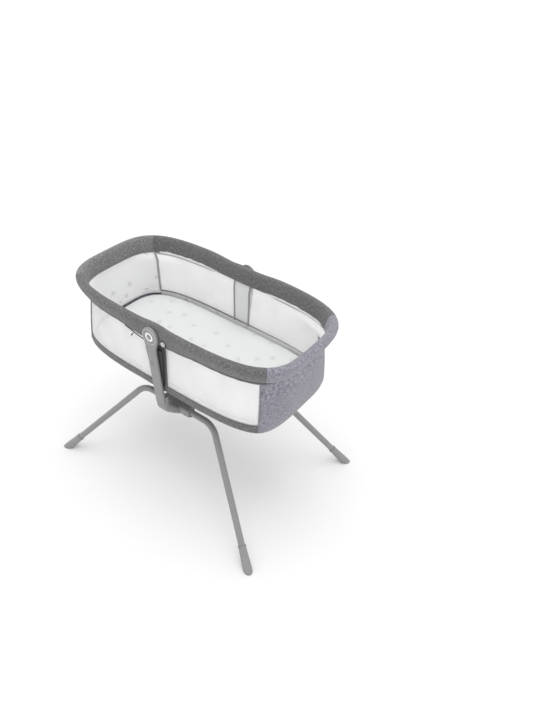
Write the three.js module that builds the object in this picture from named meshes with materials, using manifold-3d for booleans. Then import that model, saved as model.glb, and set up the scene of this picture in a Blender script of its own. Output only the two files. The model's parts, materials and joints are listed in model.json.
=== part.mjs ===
// Travel bassinet that swings on a splayed four-leg stand.
// Millimetres, +Z up, +X towards the foot end, origin on the floor under the middle of the basket.
import * as THREE from 'three';
import { mergeVertices } from 'three/addons/utils/BufferGeometryUtils.js';
import Module from 'manifold-3d';

const wasm = await Module();
wasm.setup();

// Driving dimensions: basket
const RIM_LINE_LENGTH = 829;
const RIM_LINE_WIDTH = 420;
const RIM_POWER = 3.97;
const RIM_THICK = 28;
const RIM_TALL = 60;
const RIM_CORNER_R = 11;
const RIM_TILT = THREE.MathUtils.degToRad(19.5);
const RIM_LIFT = 5;
const TILT_START = 62;
const TILT_FULL = 130;
const PIVOT_Z = 698;
const WALL_TOP_LENGTH = 820;
const WALL_TOP_WIDTH = 403;
const WALL_TOP_POWER = 3;
const FLOOR_LENGTH = 804;
const FLOOR_WIDTH = 407;
const FLOOR_POWER = 4.7;
const FLOOR_Z = 466;
const END_RISE = 8;
const WALL = 3;
const COLUMN_THICK = 4;
const COLUMN_HALF = 34;
const BAND_TALL = 34;
const SEAM_ANGLE = THREE.MathUtils.degToRad(24.8);
const SEAM_GAP = 1;
const RIM_TUBE_R = 9;
const RIM_TUBE_UP = 10;
const TUBE_START = 21;
const TUBE_WALL = 1.5;
const TUBE_PLAY = 1.6;
const HUB_HALF = 62;
const HUB_SWELL = 8;
const BLOCK_THICK = 21.4;
const BLOCK_TALL = 45.4;
const BOARD_INSET = 14;
const BOARD_THICK = 4;
const MATTRESS_LENGTH = 778;
const MATTRESS_WIDTH = 372;
const MATTRESS_POWER = 3.9;
const MATTRESS_TOP_Z = 511;
const LOCK_X = 45;
const LOCK_Z = 687;
const LOCK_R = 9;

// Driving dimensions: posts, housings and legs
const POST_FACE = 235;
const POST_DEEP = 9;
const POST_BOTTOM_Z = 412;
const POST_BEND_Z = 668;
const POST_LEAN = 0.08;
const HEAD_R = 30;
const NECK_HALF = 18.5;
const CORE_HALF = 12;
const CORE_THICK = 3.8;
const BACK_THICK = 4.5;
const BACK_LIP = 2.5;
const PIN_R = 6;
const BADGE_R = 15;
const BADGE_HOLE_R = 8.8;
const ARM_HALF = 19.5;
const SLEEVE_Y = 136;
const SLEEVE_Z = 356;
const SLEEVE_HALF = 58;
const SLEEVE_DEEP = 38;
const SLEEVE_TALL = 36;
const BEAM_WIDE = 40;
const BEAM_TALL = 25;
const BEAM_END_Y = 112;
const BEAM_WALL = 2;
const BOLT_R = 3;
const LEG_R = 11;
const LEG_BORE_R = 9.5;
const LEG_BEND_R = 73;
const LEG_CORNER_X = 154;
const FOOT_X = 436;
const FOOT_Y = 301;
const CAP_LONG = 84;
const SNAP_X = 66;
const GAP = 0.3;

const GREY_PLASTIC = { color: 0x9c9c9c, roughness: 0.5, metalness: 0 };
const GREY_STEEL = { color: 0x9a9b9c, roughness: 0.4, metalness: 0.4 };
const BARE_STEEL = { color: 0xb8babc, roughness: 0.35, metalness: 0.9 };
const BLACK_PLASTIC = { color: 0x1c1c1d, roughness: 0.5, metalness: 0 };
const PALE_PLASTIC = { color: 0xe4e6e6, roughness: 0.4, metalness: 0 };
const DARK_MELANGE = { color: 0x6b6c6d, roughness: 0.95, metalness: 0 };
const LILAC_MELANGE = { color: 0x8a8a94, roughness: 0.95, metalness: 0 };
const WHITE_MESH = { color: 0xe9ecec, roughness: 0.9, metalness: 0 };
const WHITE_CLOTH = { color: 0xf1f2f2, roughness: 0.9, metalness: 0 };
const BOARD_GREY = { color: 0x77736b, roughness: 0.8, metalness: 0 };

const RIM_A = RIM_LINE_LENGTH / 2;
const RIM_B = RIM_LINE_WIDTH / 2;
const RIM_LOW_Z = PIVOT_Z - RIM_TALL / 2;
const BAND_TOP_Z = FLOOR_Z + BAND_TALL;
const POST_BACK = POST_FACE - POST_DEEP;

const model = new THREE.Group();

function add(name, geometry, look, turned = false) {
  const mesh = new THREE.Mesh(geometry, new THREE.MeshStandardMaterial(look));
  mesh.name = name;
  mesh.rotation.z = turned ? Math.PI : 0;
  model.add(mesh);
}

// The front piece, and the same piece turned half round for the rear.
function addPair(name, geometry, look) {
  add(`front_${name}`, geometry, look);
  add(`rear_${name}`, geometry, look, true);
}

function toSolid(geometry) {
  const bare = geometry.clone();
  bare.deleteAttribute('normal');
  bare.deleteAttribute('uv');
  const merged = mergeVertices(bare, 1e-3);
  return new wasm.Manifold(new wasm.Mesh({
    numProp: 3,
    vertProperties: merged.attributes.position.array,
    triVerts: new Uint32Array(merged.index.array),
  }));
}

function toGeometry(solid) {
  const mesh = solid.getMesh();
  const geometry = new THREE.BufferGeometry();
  geometry.setAttribute('position', new THREE.BufferAttribute(mesh.vertProperties, 3));
  geometry.setIndex(new THREE.BufferAttribute(mesh.triVerts, 1));
  return geometry;
}

function cut(base, ...tools) {
  return toGeometry(tools.reduce((solid, tool) => solid.subtract(toSolid(tool)), toSolid(base)));
}

function join(base, ...others) {
  return toGeometry(others.reduce((solid, other) => solid.add(toSolid(other)), toSolid(base)));
}

// Moves every vertex to place(x, y, z), a Vector3.
function warp(geometry, place) {
  const position = geometry.attributes.position;
  for (let i = 0; i < position.count; i += 1) {
    const moved = place(position.getX(i), position.getY(i), position.getZ(i));
    position.setXYZ(i, moved.x, moved.y, moved.z);
  }
  geometry.deleteAttribute('normal');
  return geometry;
}

function box(x0, x1, y0, y1, z0, z1) {
  const geometry = new THREE.BoxGeometry(x1 - x0, y1 - y0, z1 - z0);
  return geometry.translate((x0 + x1) / 2, (y0 + y1) / 2, (z0 + z1) / 2);
}

function roundedRect(wide, tall, radius) {
  const x = wide / 2 - radius;
  const y = tall / 2 - radius;
  const shape = new THREE.Shape();
  shape.absarc(x, y, radius, 0, Math.PI / 2);
  shape.absarc(-x, y, radius, Math.PI / 2, Math.PI);
  shape.absarc(-x, -y, radius, Math.PI, Math.PI * 1.5);
  shape.absarc(x, -y, radius, Math.PI * 1.5, Math.PI * 2);
  shape.closePath();
  return shape;
}

function circle(radius, sides, y = 0) {
  const points = [];
  for (let i = 0; i < sides; i += 1) {
    const angle = (i * Math.PI * 2) / sides;
    points.push(new THREE.Vector2(radius * Math.cos(angle), y + radius * Math.sin(angle)));
  }
  return points;
}

function ringSection(outerR, innerR, sides) {
  const shape = new THREE.Shape(circle(outerR, sides));
  shape.holes.push(new THREE.Path(circle(innerR, sides)));
  return shape;
}

// Carries a section along stations {at, across, up}; across x up points along the way.
function sweep(section, stations, curveSegments = 1) {
  const steps = stations.length - 1;
  const options = { depth: steps, steps, curveSegments, bevelEnabled: false };
  return warp(new THREE.ExtrudeGeometry(section, options), (x, y, z) => {
    const { at, across, up } = stations[Math.round(z)];
    return at.clone().addScaledVector(across, x).addScaledVector(up, y);
  });
}

// A turned solid of [radius, height] steps, its axis moved to start at 'from' and point along 'along'.
function turned(profile, from, along, sides = 24) {
  const points = profile.map(([radius, height]) => new THREE.Vector2(radius, height));
  const geometry = new THREE.LatheGeometry(points, sides);
  const turn = new THREE.Quaternion().setFromUnitVectors(new THREE.Vector3(0, 1, 0), along);
  return geometry.applyQuaternion(turn).translate(from.x, from.y, from.z);
}

function rod(radius, from, along, long, sides = 24) {
  return turned([[0, 0], [radius, 0], [radius, long], [0, long]], from, along, sides);
}

const vec = (x, y, z) => new THREE.Vector3(x, y, z);
const FRONT = vec(0, -1, 0);
const UP = vec(0, 0, 1);

// ---- Basket: everything follows a rounded outline that narrows from the rim to the floor ----

function radiusAt(angle, a, b, power) {
  const sum = Math.abs(Math.cos(angle) / a) ** power + Math.abs(Math.sin(angle) / b) ** power;
  return sum ** (-1 / power);
}

// The rim's centre line, from the front middle towards the foot end and all the way round.
class RimLine extends THREE.Curve {
  getPoint(t) {
    const angle = (t * 4 - 1) * Math.PI / 2;
    const radius = radiusAt(angle, RIM_A, RIM_B, RIM_POWER);
    return vec(radius * Math.cos(angle), radius * Math.sin(angle), 0);
  }
}

const rimLine = new RimLine();
const LINE_STEPS = 720;
rimLine.arcLengthDivisions = LINE_STEPS;
const ROUND = rimLine.getLength();
const HALF_ROUND = ROUND / 2;
const seamShare = (Math.PI / 2 - SEAM_ANGLE) / (Math.PI * 2);
const SEAM_RUN = rimLine.getLengths()[Math.round(seamShare * LINE_STEPS)];

// A point of the outline with half axes a and b, and the direction straight out of it.
function outlineAt(angle, a, b, power) {
  const radius = radiusAt(angle, a, b, power);
  const x = radius * Math.cos(angle);
  const y = radius * Math.sin(angle);
  const steepX = Math.sign(x) * Math.abs(x / a) ** (power - 1) / a;
  const steepY = Math.sign(y) * Math.abs(y / b) ** (power - 1) / b;
  return { x, y, outward: vec(steepX, steepY, 0).normalize() };
}

function angleAt(s) {
  const share = THREE.MathUtils.euclideanModulo(s / ROUND, 1);
  return (rimLine.getUtoTmapping(share) * 4 - 1) * Math.PI / 2;
}

// 0 over the hubs, 1 where the rim leans fully outwards.
function leanShare(s) {
  const past = THREE.MathUtils.euclideanModulo(s, HALF_ROUND);
  return THREE.MathUtils.smoothstep(Math.min(past, HALF_ROUND - past), TILT_START, TILT_FULL);
}

// The point on the wall at run s along the rim line, at height z and 'out' mm outside the wall's middle.
function wallAt(s, z, out = 0) {
  const high = THREE.MathUtils.clamp((z - FLOOR_Z) / (RIM_LOW_Z - FLOOR_Z), 0, 1);
  const a = THREE.MathUtils.lerp(FLOOR_LENGTH, WALL_TOP_LENGTH, high) / 2;
  const b = THREE.MathUtils.lerp(FLOOR_WIDTH, WALL_TOP_WIDTH, high) / 2;
  const power = THREE.MathUtils.lerp(FLOOR_POWER, WALL_TOP_POWER, high);
  const { x, y, outward } = outlineAt(angleAt(s), a, b, power);
  const rise = END_RISE * (x / a) ** 4 * (1 - high) + RIM_LIFT * leanShare(s) * high;
  return vec(x, y, z + rise).addScaledVector(outward, out);
}

// Where the rim's middle lies at run s, and its section's inward and upward directions, which lean out.
function rimStation(s) {
  const { x, y, outward } = outlineAt(angleAt(s), RIM_A, RIM_B, RIM_POWER);
  const tilt = RIM_TILT * leanShare(s);
  const across = outward.clone().multiplyScalar(-Math.cos(tilt)).addScaledVector(UP, Math.sin(tilt));
  const up = outward.clone().multiplyScalar(Math.sin(tilt)).addScaledVector(UP, Math.cos(tilt));
  return { at: vec(x, y, PIVOT_Z + RIM_LIFT * leanShare(s)), across, up };
}

function wallPanel(s0, s1, z0, z1, thick, along, upwards) {
  const geometry = new THREE.BoxGeometry(s1 - s0, thick, z1 - z0, along, 1, upwards);
  geometry.translate((s0 + s1) / 2, 0, (z0 + z1) / 2);
  return warp(geometry, (x, y, z) => wallAt(x, z, -y));
}

function evenRuns(from, to, steps) {
  return Array.from({ length: steps + 1 }, (_, i) => THREE.MathUtils.lerp(from, to, i / steps));
}

// One half of the rim: 0 starts at the front hub (foot end), HALF_ROUND at the rear hub (head end).
const RIM_STEPS = 22;

function rimPad(start) {
  const section = roundedRect(RIM_THICK, RIM_TALL, RIM_CORNER_R);
  section.holes.push(new THREE.Path(circle(RIM_TUBE_R + TUBE_PLAY, 8, RIM_TUBE_UP)));
  const runs = evenRuns(start + HUB_HALF + GAP, start + HALF_ROUND - HUB_HALF - GAP, RIM_STEPS);
  return sweep(section, runs.map(rimStation));
}

function rimTube(start) {
  const inside = evenRuns(start + HUB_HALF + GAP, start + HALF_ROUND - HUB_HALF - GAP, RIM_STEPS);
  const runs = [start + TUBE_START, ...inside, start + HALF_ROUND - TUBE_START];
  const section = new THREE.Shape(circle(RIM_TUBE_R, 8, RIM_TUBE_UP));
  section.holes.push(new THREE.Path(circle(RIM_TUBE_R - TUBE_WALL, 8, RIM_TUBE_UP)));
  return sweep(section, runs.map(rimStation));
}

// The padded cover swells over the hub block, upwards and inwards.
function hubSleeve() {
  const section = roundedRect(RIM_THICK, RIM_TALL, RIM_CORNER_R);
  section.holes.push(roundedRect(BLOCK_THICK + 2 * GAP, BLOCK_TALL + 2 * GAP, 0.4));
  const options = { depth: 2 * HUB_HALF, steps: 8, curveSegments: 1, bevelEnabled: false };
  const cover = warp(new THREE.ExtrudeGeometry(section, options), (inward, up, z) => {
    const s = z - HUB_HALF;
    const swell = HUB_SWELL * Math.cos(Math.PI * s / (2 * HUB_HALF)) ** 2;
    const raised = up > RIM_TALL / 2 - 12 ? swell : 0;
    const thicker = inward > BLOCK_THICK / 2 + 1 ? swell / 2 : 0;
    const { at, across } = rimStation(s);
    return at.addScaledVector(across, inward + thicker).addScaledVector(UP, up + raised);
  });
  const pinHole = rod(PIN_R + 3, vec(0, -RIM_B - 8, PIVOT_Z), FRONT, 12, 12);
  const lockHole = rod(LOCK_R + 0.6, vec(LOCK_X, -RIM_B - 8, LOCK_Z), FRONT, 12, 16);
  return cut(cover, pinHole, lockHole);
}

function hubBlock() {
  const half = BLOCK_THICK / 2;
  const tall = BLOCK_TALL / 2;
  const long = HUB_HALF - 2;
  const block = box(-long, long, -RIM_B - half, -RIM_B + half, PIVOT_Z - tall, PIVOT_Z + tall);
  const tubeZ = PIVOT_Z + RIM_TUBE_UP;
  const socketR = RIM_TUBE_R + 3 * GAP;
  const footSocket = rod(socketR, vec(20, -RIM_B, tubeZ), vec(1, 0, 0), HUB_HALF, 8);
  const headSocket = rod(socketR, vec(-20, -RIM_B, tubeZ), vec(-1, 0, 0), HUB_HALF, 8);
  const pinBore = rod(PIN_R + 0.1, vec(0, -RIM_B + half + 1, PIVOT_Z), FRONT, BLOCK_THICK + 2, 24);
  const pocket = rod(LOCK_R + 0.6, vec(LOCK_X, -RIM_B, LOCK_Z), FRONT, BLOCK_THICK, 16);
  return cut(block, footSocket, headSocket, pinBore, pocket);
}

function lockButton() {
  const profile = [[0, 0], [LOCK_R, 0], [LOCK_R, 12], [LOCK_R - 2.5, 13.5], [0, 13.5]];
  return turned(profile, vec(LOCK_X, -RIM_B - 4, LOCK_Z), FRONT, 16);
}

// A flat layer within an outline, between x0 and x1; level(x) gives its [under, over] heights.
function layer({ a, b, power }, x0, x1, level) {
  const columns = Math.round((x1 - x0) / 40);
  return warp(new THREE.BoxGeometry(1, 2, 1, columns, 1, 1), (u, v, w) => {
    const x = THREE.MathUtils.lerp(x0, x1, u + 0.5);
    const halfWidth = b * (1 - Math.abs(x / a) ** power) ** (1 / power);
    return vec(x, v * halfWidth, level(x)[w < 0 ? 0 : 1]);
  });
}

const floorOutline = (inset) => (
  { a: FLOOR_LENGTH / 2 - inset, b: FLOOR_WIDTH / 2 - inset, power: FLOOR_POWER }
);

const riseAt = (x) => END_RISE * (x / (FLOOR_LENGTH / 2)) ** 4;

function floorFabric() {
  const reach = FLOOR_LENGTH / 2 - 4.5;
  return layer(floorOutline(4), -reach, reach, (x) => [FLOOR_Z + 1 + riseAt(x), FLOOR_Z + 3.5 + riseAt(x)]);
}

const BOARD_Z = FLOOR_Z + 5;

function baseBoard(side) {
  const far = side * (FLOOR_LENGTH / 2 - BOARD_INSET - 0.5);
  const near = side * 2;
  return layer(floorOutline(BOARD_INSET), Math.min(near, far), Math.max(near, far), (x) => {
    const under = BOARD_Z + riseAt(x);
    return [under, under + BOARD_THICK];
  });
}

function mattress() {
  const outline = { a: MATTRESS_LENGTH / 2, b: MATTRESS_WIDTH / 2, power: MATTRESS_POWER };
  const reach = outline.a - 0.5;
  const under = BOARD_Z + BOARD_THICK + 1;
  return layer(outline, -reach, reach, (x) => [under + riseAt(x), MATTRESS_TOP_Z]);
}

// A small tab that hangs from the zip under the rim, beside the hub.
function zipPull() {
  const tab = new THREE.BoxGeometry(5, 1.6, 17);
  return tab.translate(0, 0, -9).rotateY(0.6).translate(-78, -RIM_B - 15.5, RIM_LOW_Z + 3);
}

// ---- Stand ----

function postHalfWidth(z) {
  if (z > PIVOT_Z) return Math.sqrt(Math.max(HEAD_R ** 2 - (z - PIVOT_Z) ** 2, 36));
  const neck = THREE.MathUtils.smoothstep(z, 440, PIVOT_Z);
  const toe = THREE.MathUtils.smoothstep(z, POST_BOTTOM_Z - 14, POST_BOTTOM_Z + 18);
  return THREE.MathUtils.lerp(NECK_HALF, HEAD_R, neck) * (0.72 + 0.28 * toe);
}

const postLean = (z) => POST_LEAN * Math.max(POST_BEND_Z - z, 0);

// A bar that follows the post between two depths, through the given heights.
function postBar(back, face, heights, halfWidthAt) {
  const geometry = new THREE.BoxGeometry(2, 1, heights.length - 1, 1, 1, heights.length - 1);
  return warp(geometry, (x, y, z) => {
    const high = heights[Math.round(z + (heights.length - 1) / 2)];
    const depth = (y < 0 ? face : back) - postLean(high);
    return vec(x * halfWidthAt(high), -depth, high);
  });
}

const SCREW_Z = 600;

function postCover() {
  const heights = [412, 416, 422, 430, 450, 490, 540, 590, 640, 668, 684, 698, 708, 716, 722, 726, 727.4];
  const cover = postBar(POST_BACK, POST_FACE, heights, postHalfWidth);
  const depth = POST_BACK + CORE_THICK + 2 * GAP;
  const pocket = postBar(POST_BACK - 1, depth, [424.7, 530, 640.3], () => CORE_HALF + GAP);
  const pinBore = rod(PIN_R + GAP, vec(0, -POST_BACK + 1, PIVOT_Z), FRONT, 6, 12);
  const recess = rod(BADGE_R + GAP, vec(0, -POST_FACE + 2, PIVOT_Z), FRONT, 6, 20);
  const screwHole = rod(2.8, vec(0, -POST_BACK + postLean(SCREW_Z) + 2, SCREW_Z), FRONT, 9, 8);
  return cut(cover, pocket, pinBore, recess, screwHole);
}

function postCore() {
  const heights = [425, 530, 640];
  const core = postBar(POST_BACK + GAP, POST_BACK + CORE_THICK, heights, () => CORE_HALF);
  return cut(core, rod(2.8, vec(0, -200, SCREW_Z), FRONT, 40, 8));
}

function postBack() {
  const heights = [500, 540, 590, 655];
  const back = POST_BACK - GAP - BACK_THICK;
  const cover = postBar(back, POST_BACK - GAP, heights, (z) => postHalfWidth(z) + BACK_LIP);
  return cut(cover, rod(2.8, vec(0, -200, SCREW_Z), FRONT, 40, 8));
}

function postScrew() {
  const start = POST_BACK - postLean(SCREW_Z) - GAP - BACK_THICK - 2;
  const profile = [[0, 0], [4.2, 0], [4.2, 1.4], [2.5, 1.4], [2.5, 10.5], [0, 10.5]];
  return turned(profile, vec(0, -start, SCREW_Z), FRONT, 8);
}

function pivotPin() {
  return rod(PIN_R, vec(0, -RIM_B + 9, PIVOT_Z), FRONT, POST_BACK + 4.4 - RIM_B + 9, 24);
}

function badgeRing() {
  const face = POST_FACE + 0.6;
  const shape = ringSection(BADGE_R, BADGE_HOLE_R, 20);
  const ring = new THREE.ExtrudeGeometry(shape, { depth: 2.2, steps: 1, bevelEnabled: false });
  return ring.rotateX(Math.PI / 2).translate(0, -face + 2.2, PIVOT_Z);
}

function badgeDisc() {
  return rod(BADGE_HOLE_R - GAP, vec(0, -POST_FACE + 1.6, PIVOT_Z), FRONT, 1.8, 20);
}

// Depth runs out from the middle of the stand, so a point is [depth, height] in a side view.
function armSide() {
  const side = new THREE.Shape();
  side.moveTo(150, 345);
  side.lineTo(162, 349);
  side.lineTo(197, 383);
  side.quadraticCurveTo(212, 397, 214, 411.4);
  side.lineTo(204.9, 411.4);
  side.lineTo(207.8, 448);
  side.lineTo(192, 448);
  side.lineTo(192, 424);
  side.quadraticCurveTo(191, 404, 180, 395);
  side.lineTo(156, 372);
  side.lineTo(150, 372);
  side.closePath();
  return side;
}

function alongX(shape, half) {
  const options = { depth: 2 * half, steps: 1, curveSegments: 2, bevelEnabled: false };
  const long = new THREE.ExtrudeGeometry(shape, options);
  return warp(long, (x, y, z) => vec(half - z, -x, y));
}

function legHousing() {
  const sleeve = alongX(roundedRect(SLEEVE_DEEP, SLEEVE_TALL, 9), SLEEVE_HALF);
  const collar = alongX(roundedRect(SLEEVE_DEEP + 4, SLEEVE_TALL + 4, 10), 3);
  sleeve.translate(0, -SLEEVE_Y, SLEEVE_Z);
  collar.translate(0, -SLEEVE_Y, SLEEVE_Z);
  const footCollar = collar.clone().translate(SLEEVE_HALF - 2.5, 0, 0);
  const headCollar = collar.clone().translate(2.5 - SLEEVE_HALF, 0, 0);
  const bossHalf = BEAM_WIDE / 2 + 4;
  const low = SLEEVE_Z - SLEEVE_TALL / 2;
  const boss = box(-bossHalf, bossHalf, -120, -96, low, low + SLEEVE_TALL);
  const solid = join(sleeve, footCollar, headCollar, boss, alongX(armSide(), ARM_HALF));
  const bore = rod(LEG_R + GAP, vec(-80, -SLEEVE_Y, SLEEVE_Z), vec(1, 0, 0), 160, 16);
  const wide = BEAM_WIDE / 2 + GAP;
  const tall = BEAM_TALL / 2 + GAP;
  const end = -BEAM_END_Y - GAP;
  const pocket = box(-wide, wide, end, -90, SLEEVE_Z - tall, SLEEVE_Z + tall);
  const boltHole = rod(BOLT_R + GAP, vec(0, -104, low - 5), UP, 50, 8);
  return cut(solid, bore, pocket, boltHole);
}

function crossBeam() {
  const wide = BEAM_WIDE / 2;
  const tall = BEAM_TALL / 2;
  const outer = box(-wide, wide, -BEAM_END_Y, BEAM_END_Y, SLEEVE_Z - tall, SLEEVE_Z + tall);
  const w = wide - BEAM_WALL;
  const t = tall - BEAM_WALL;
  const inner = box(-w, w, -BEAM_END_Y - 1, BEAM_END_Y + 1, SLEEVE_Z - t, SLEEVE_Z + t);
  const frontHole = rod(BOLT_R + GAP, vec(0, -104, SLEEVE_Z - 20), UP, 40, 8);
  const rearHole = rod(BOLT_R + GAP, vec(0, 104, SLEEVE_Z - 20), UP, 40, 8);
  return cut(outer, inner, frontHole, rearHole);
}

function beamBolt() {
  const top = SLEEVE_TALL + GAP + 1;
  const profile = [[0, 0], [BOLT_R, 0], [BOLT_R, top], [5.5, top], [5.5, top + 4], [0, top + 4]];
  return turned(profile, vec(0, -104, SLEEVE_Z - SLEEVE_TALL / 2 - 1), UP, 8);
}

// ---- Legs: straight out of the sleeve, one bend, then straight down to the foot ----

// Everything about one leg's route; sideX is +1 at the foot end, sideY is -1 in front.
function legRoute(sideX, sideY) {
  const start = vec(sideX, 0, 0);
  const corner = vec(sideX * LEG_CORNER_X, sideY * SLEEVE_Y, SLEEVE_Z);
  const foot = vec(sideX * FOOT_X, sideY * FOOT_Y, 0);
  const down = foot.clone().sub(corner).normalize();
  const turn = start.angleTo(down);
  const tangent = LEG_BEND_R * Math.tan(turn / 2);
  const side = down.clone().addScaledVector(start, -down.dot(start)).normalize();
  const bendStart = corner.clone().addScaledVector(start, -tangent);
  const across = start.clone().cross(side);
  return { start, corner, foot, down, turn, side, bendStart, across };
}

function legStations(route) {
  const { start, corner, foot, down, turn, side, bendStart, across } = route;
  const inner = vec(start.x * 10, corner.y, corner.z);
  const stations = [{ at: inner, way: start }];
  const bends = 5;
  for (let i = 0; i <= bends; i += 1) {
    const angle = (turn * i) / bends;
    const at = bendStart.clone().addScaledVector(start, LEG_BEND_R * Math.sin(angle));
    at.addScaledVector(side, LEG_BEND_R * (1 - Math.cos(angle)));
    const way = start.clone().multiplyScalar(Math.cos(angle)).addScaledVector(side, Math.sin(angle));
    stations.push({ at, way });
  }
  stations.push({ at: foot.clone().addScaledVector(down, -19), way: down });
  return stations.map(({ at, way }) => ({ at, across, up: way.clone().cross(across) }));
}

// The snap button points down and away from the middle of the stand.
const snapWay = (sideY) => vec(0, sideY, -1).normalize();

function legTube(route, sideX, sideY) {
  const tube = sweep(ringSection(LEG_R, LEG_BORE_R, 12), legStations(route));
  const centre = vec(sideX * SNAP_X, route.corner.y, SLEEVE_Z);
  return cut(tube, rod(3.8, centre.addScaledVector(snapWay(sideY), 6), snapWay(sideY), 8, 10));
}

function footCap(route) {
  const from = route.foot.clone().addScaledVector(route.down, 20);
  const top = CAP_LONG + 20;
  const profile = [[0, 0], [15.2, 0], [15, 45], [13.8, 80], [13.8, top], [0, top]];
  const boot = turned(profile, from, route.down.clone().negate(), 16);
  const boreEnd = route.foot.clone().addScaledVector(route.down, -18.5);
  const bore = rod(LEG_R + GAP, boreEnd, route.down.clone().negate(), CAP_LONG, 12);
  const under = box(-600, 600, -600, 600, -60, 0);
  return cut(boot, bore, under);
}

function snapButton(sideX, sideY) {
  const profile = [[0, 4], [4.4, 4], [4.4, 6], [3.4, 6], [3.4, 13], [2.4, 14], [0, 14]];
  return turned(profile, vec(sideX * SNAP_X, sideY * SLEEVE_Y, SLEEVE_Z), snapWay(sideY), 10);
}

// A leaf folded inside the tube that pushes the button out.
function snapSpring(sideX, sideY) {
  const way = snapWay(sideY);
  const centre = vec(sideX * SNAP_X, sideY * SLEEVE_Y, SLEEVE_Z);
  const route = [[4, 3.1], [-24, -1.5], [-28, -4.6], [-24, -7.4], [2, -7.4]];
  const across = vec(sideX, 0, 0).cross(way);
  const stations = route.map(([along, out]) => {
    const at = centre.clone().addScaledVector(vec(sideX, 0, 0), along).addScaledVector(way, out);
    return { at, across };
  });
  stations.forEach((station, i) => {
    const before = stations[Math.max(i - 1, 0)].at;
    const after = stations[Math.min(i + 1, stations.length - 1)].at;
    station.up = after.clone().sub(before).normalize().cross(across);
  });
  return sweep(roundedRect(6, 0.8, 0.2), stations, 1);
}

// ---- Assembly ----

function addStand() {
  add('cross_beam', crossBeam(), BARE_STEEL);
  addPair('beam_bolt', beamBolt(), BARE_STEEL);
  addPair('leg_housing', legHousing(), GREY_PLASTIC);
  addPair('post_core', postCore(), BARE_STEEL);
  addPair('post_cover', postCover(), GREY_PLASTIC);
  addPair('post_back', postBack(), BLACK_PLASTIC);
  addPair('post_screw', postScrew(), BARE_STEEL);
  addPair('pivot_pin', pivotPin(), BARE_STEEL);
  addPair('badge_ring', badgeRing(), PALE_PLASTIC);
  addPair('badge_disc', badgeDisc(), GREY_PLASTIC);
}

function addLegs() {
  for (const [end, sideX] of [['head', -1], ['foot', 1]]) {
    for (const [face, sideY] of [['front', -1], ['rear', 1]]) {
      const route = legRoute(sideX, sideY);
      const name = `${face}_${end}`;
      add(`${name}_leg`, legTube(route, sideX, sideY), GREY_STEEL);
      add(`${name}_foot_cap`, footCap(route), GREY_PLASTIC);
      add(`${name}_snap_button`, snapButton(sideX, sideY), BLACK_PLASTIC);
      add(`${name}_snap_spring`, snapSpring(sideX, sideY), BARE_STEEL);
    }
  }
}

function addBasket() {
  addPair('hub_sleeve', hubSleeve(), DARK_MELANGE);
  addPair('hub_block', hubBlock(), BLACK_PLASTIC);
  addPair('lock_button', lockButton(), PALE_PLASTIC);
  const top = RIM_LOW_Z - GAP;
  const sill = BAND_TOP_Z + 0.8;
  const column = COLUMN_HALF + GAP;
  for (const [end, start] of [['foot', 0], ['head', HALF_ROUND]]) {
    add(`${end}_rim_pad`, rimPad(start), DARK_MELANGE);
    add(`${end}_rim_tube`, rimTube(start), BARE_STEEL);
    const from = start + SEAM_RUN + SEAM_GAP;
    const to = start + HALF_ROUND - SEAM_RUN - SEAM_GAP;
    add(`${end}_end_panel`, wallPanel(from, to, FLOOR_Z, top, WALL, 16, 2), LILAC_MELANGE);
    add(`${end}_base_board`, baseBoard(end === 'foot' ? 1 : -1), BOARD_GREY);
  }
  for (const [face, middle, footward] of [['front', 0, 1], ['rear', HALF_ROUND, -1]]) {
    const bandFrom = middle - SEAM_RUN;
    const bandTo = middle + SEAM_RUN;
    const band = wallPanel(bandFrom, bandTo, FLOOR_Z, BAND_TOP_Z, WALL, 22, 1);
    add(`${face}_bottom_band`, band, DARK_MELANGE);
    const middleColumn = wallPanel(middle - COLUMN_HALF, middle + COLUMN_HALF, sill, top, COLUMN_THICK, 2, 2);
    add(`${face}_column`, middleColumn, DARK_MELANGE);
    for (const [end, way] of [['foot', footward], ['head', -footward]]) {
      const near = middle + way * column;
      const far = middle + way * SEAM_RUN;
      const window = wallPanel(Math.min(near, far), Math.max(near, far), sill, top, WALL, 10, 2);
      add(`${face}_${end}_window`, window, WHITE_MESH);
    }
  }
  add('floor_fabric', floorFabric(), DARK_MELANGE);
  add('zip_pull', zipPull(), BLACK_PLASTIC);
  add('mattress', mattress(), WHITE_CLOTH);
}

addStand();
addLegs();
addBasket();

export default model;
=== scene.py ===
"""Travel bassinet on a splayed stand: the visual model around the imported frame, as a Blender add-on."""
import json
import math

import bmesh
import bpy
import numpy as np
from bpy.props import FloatProperty, FloatVectorProperty, PointerProperty
from mathutils import Matrix, Vector


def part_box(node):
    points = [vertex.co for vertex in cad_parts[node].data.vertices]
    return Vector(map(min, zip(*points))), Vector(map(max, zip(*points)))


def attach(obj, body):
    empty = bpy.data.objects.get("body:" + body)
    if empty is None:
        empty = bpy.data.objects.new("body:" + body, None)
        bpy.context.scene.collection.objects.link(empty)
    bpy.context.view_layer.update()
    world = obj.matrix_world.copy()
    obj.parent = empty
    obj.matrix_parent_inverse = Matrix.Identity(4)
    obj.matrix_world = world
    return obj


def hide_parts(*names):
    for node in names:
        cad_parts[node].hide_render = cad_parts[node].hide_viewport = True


bl_info = {
    "name": "Travel bassinet",
    "version": (1, 0, 0),
    "blender": (4, 5, 0),
    "location": "View3D > Sidebar > Bassinet",
    "description": "Builds the cloth, stand and stage of a swinging travel bassinet",
    "category": "Object",
}

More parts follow.
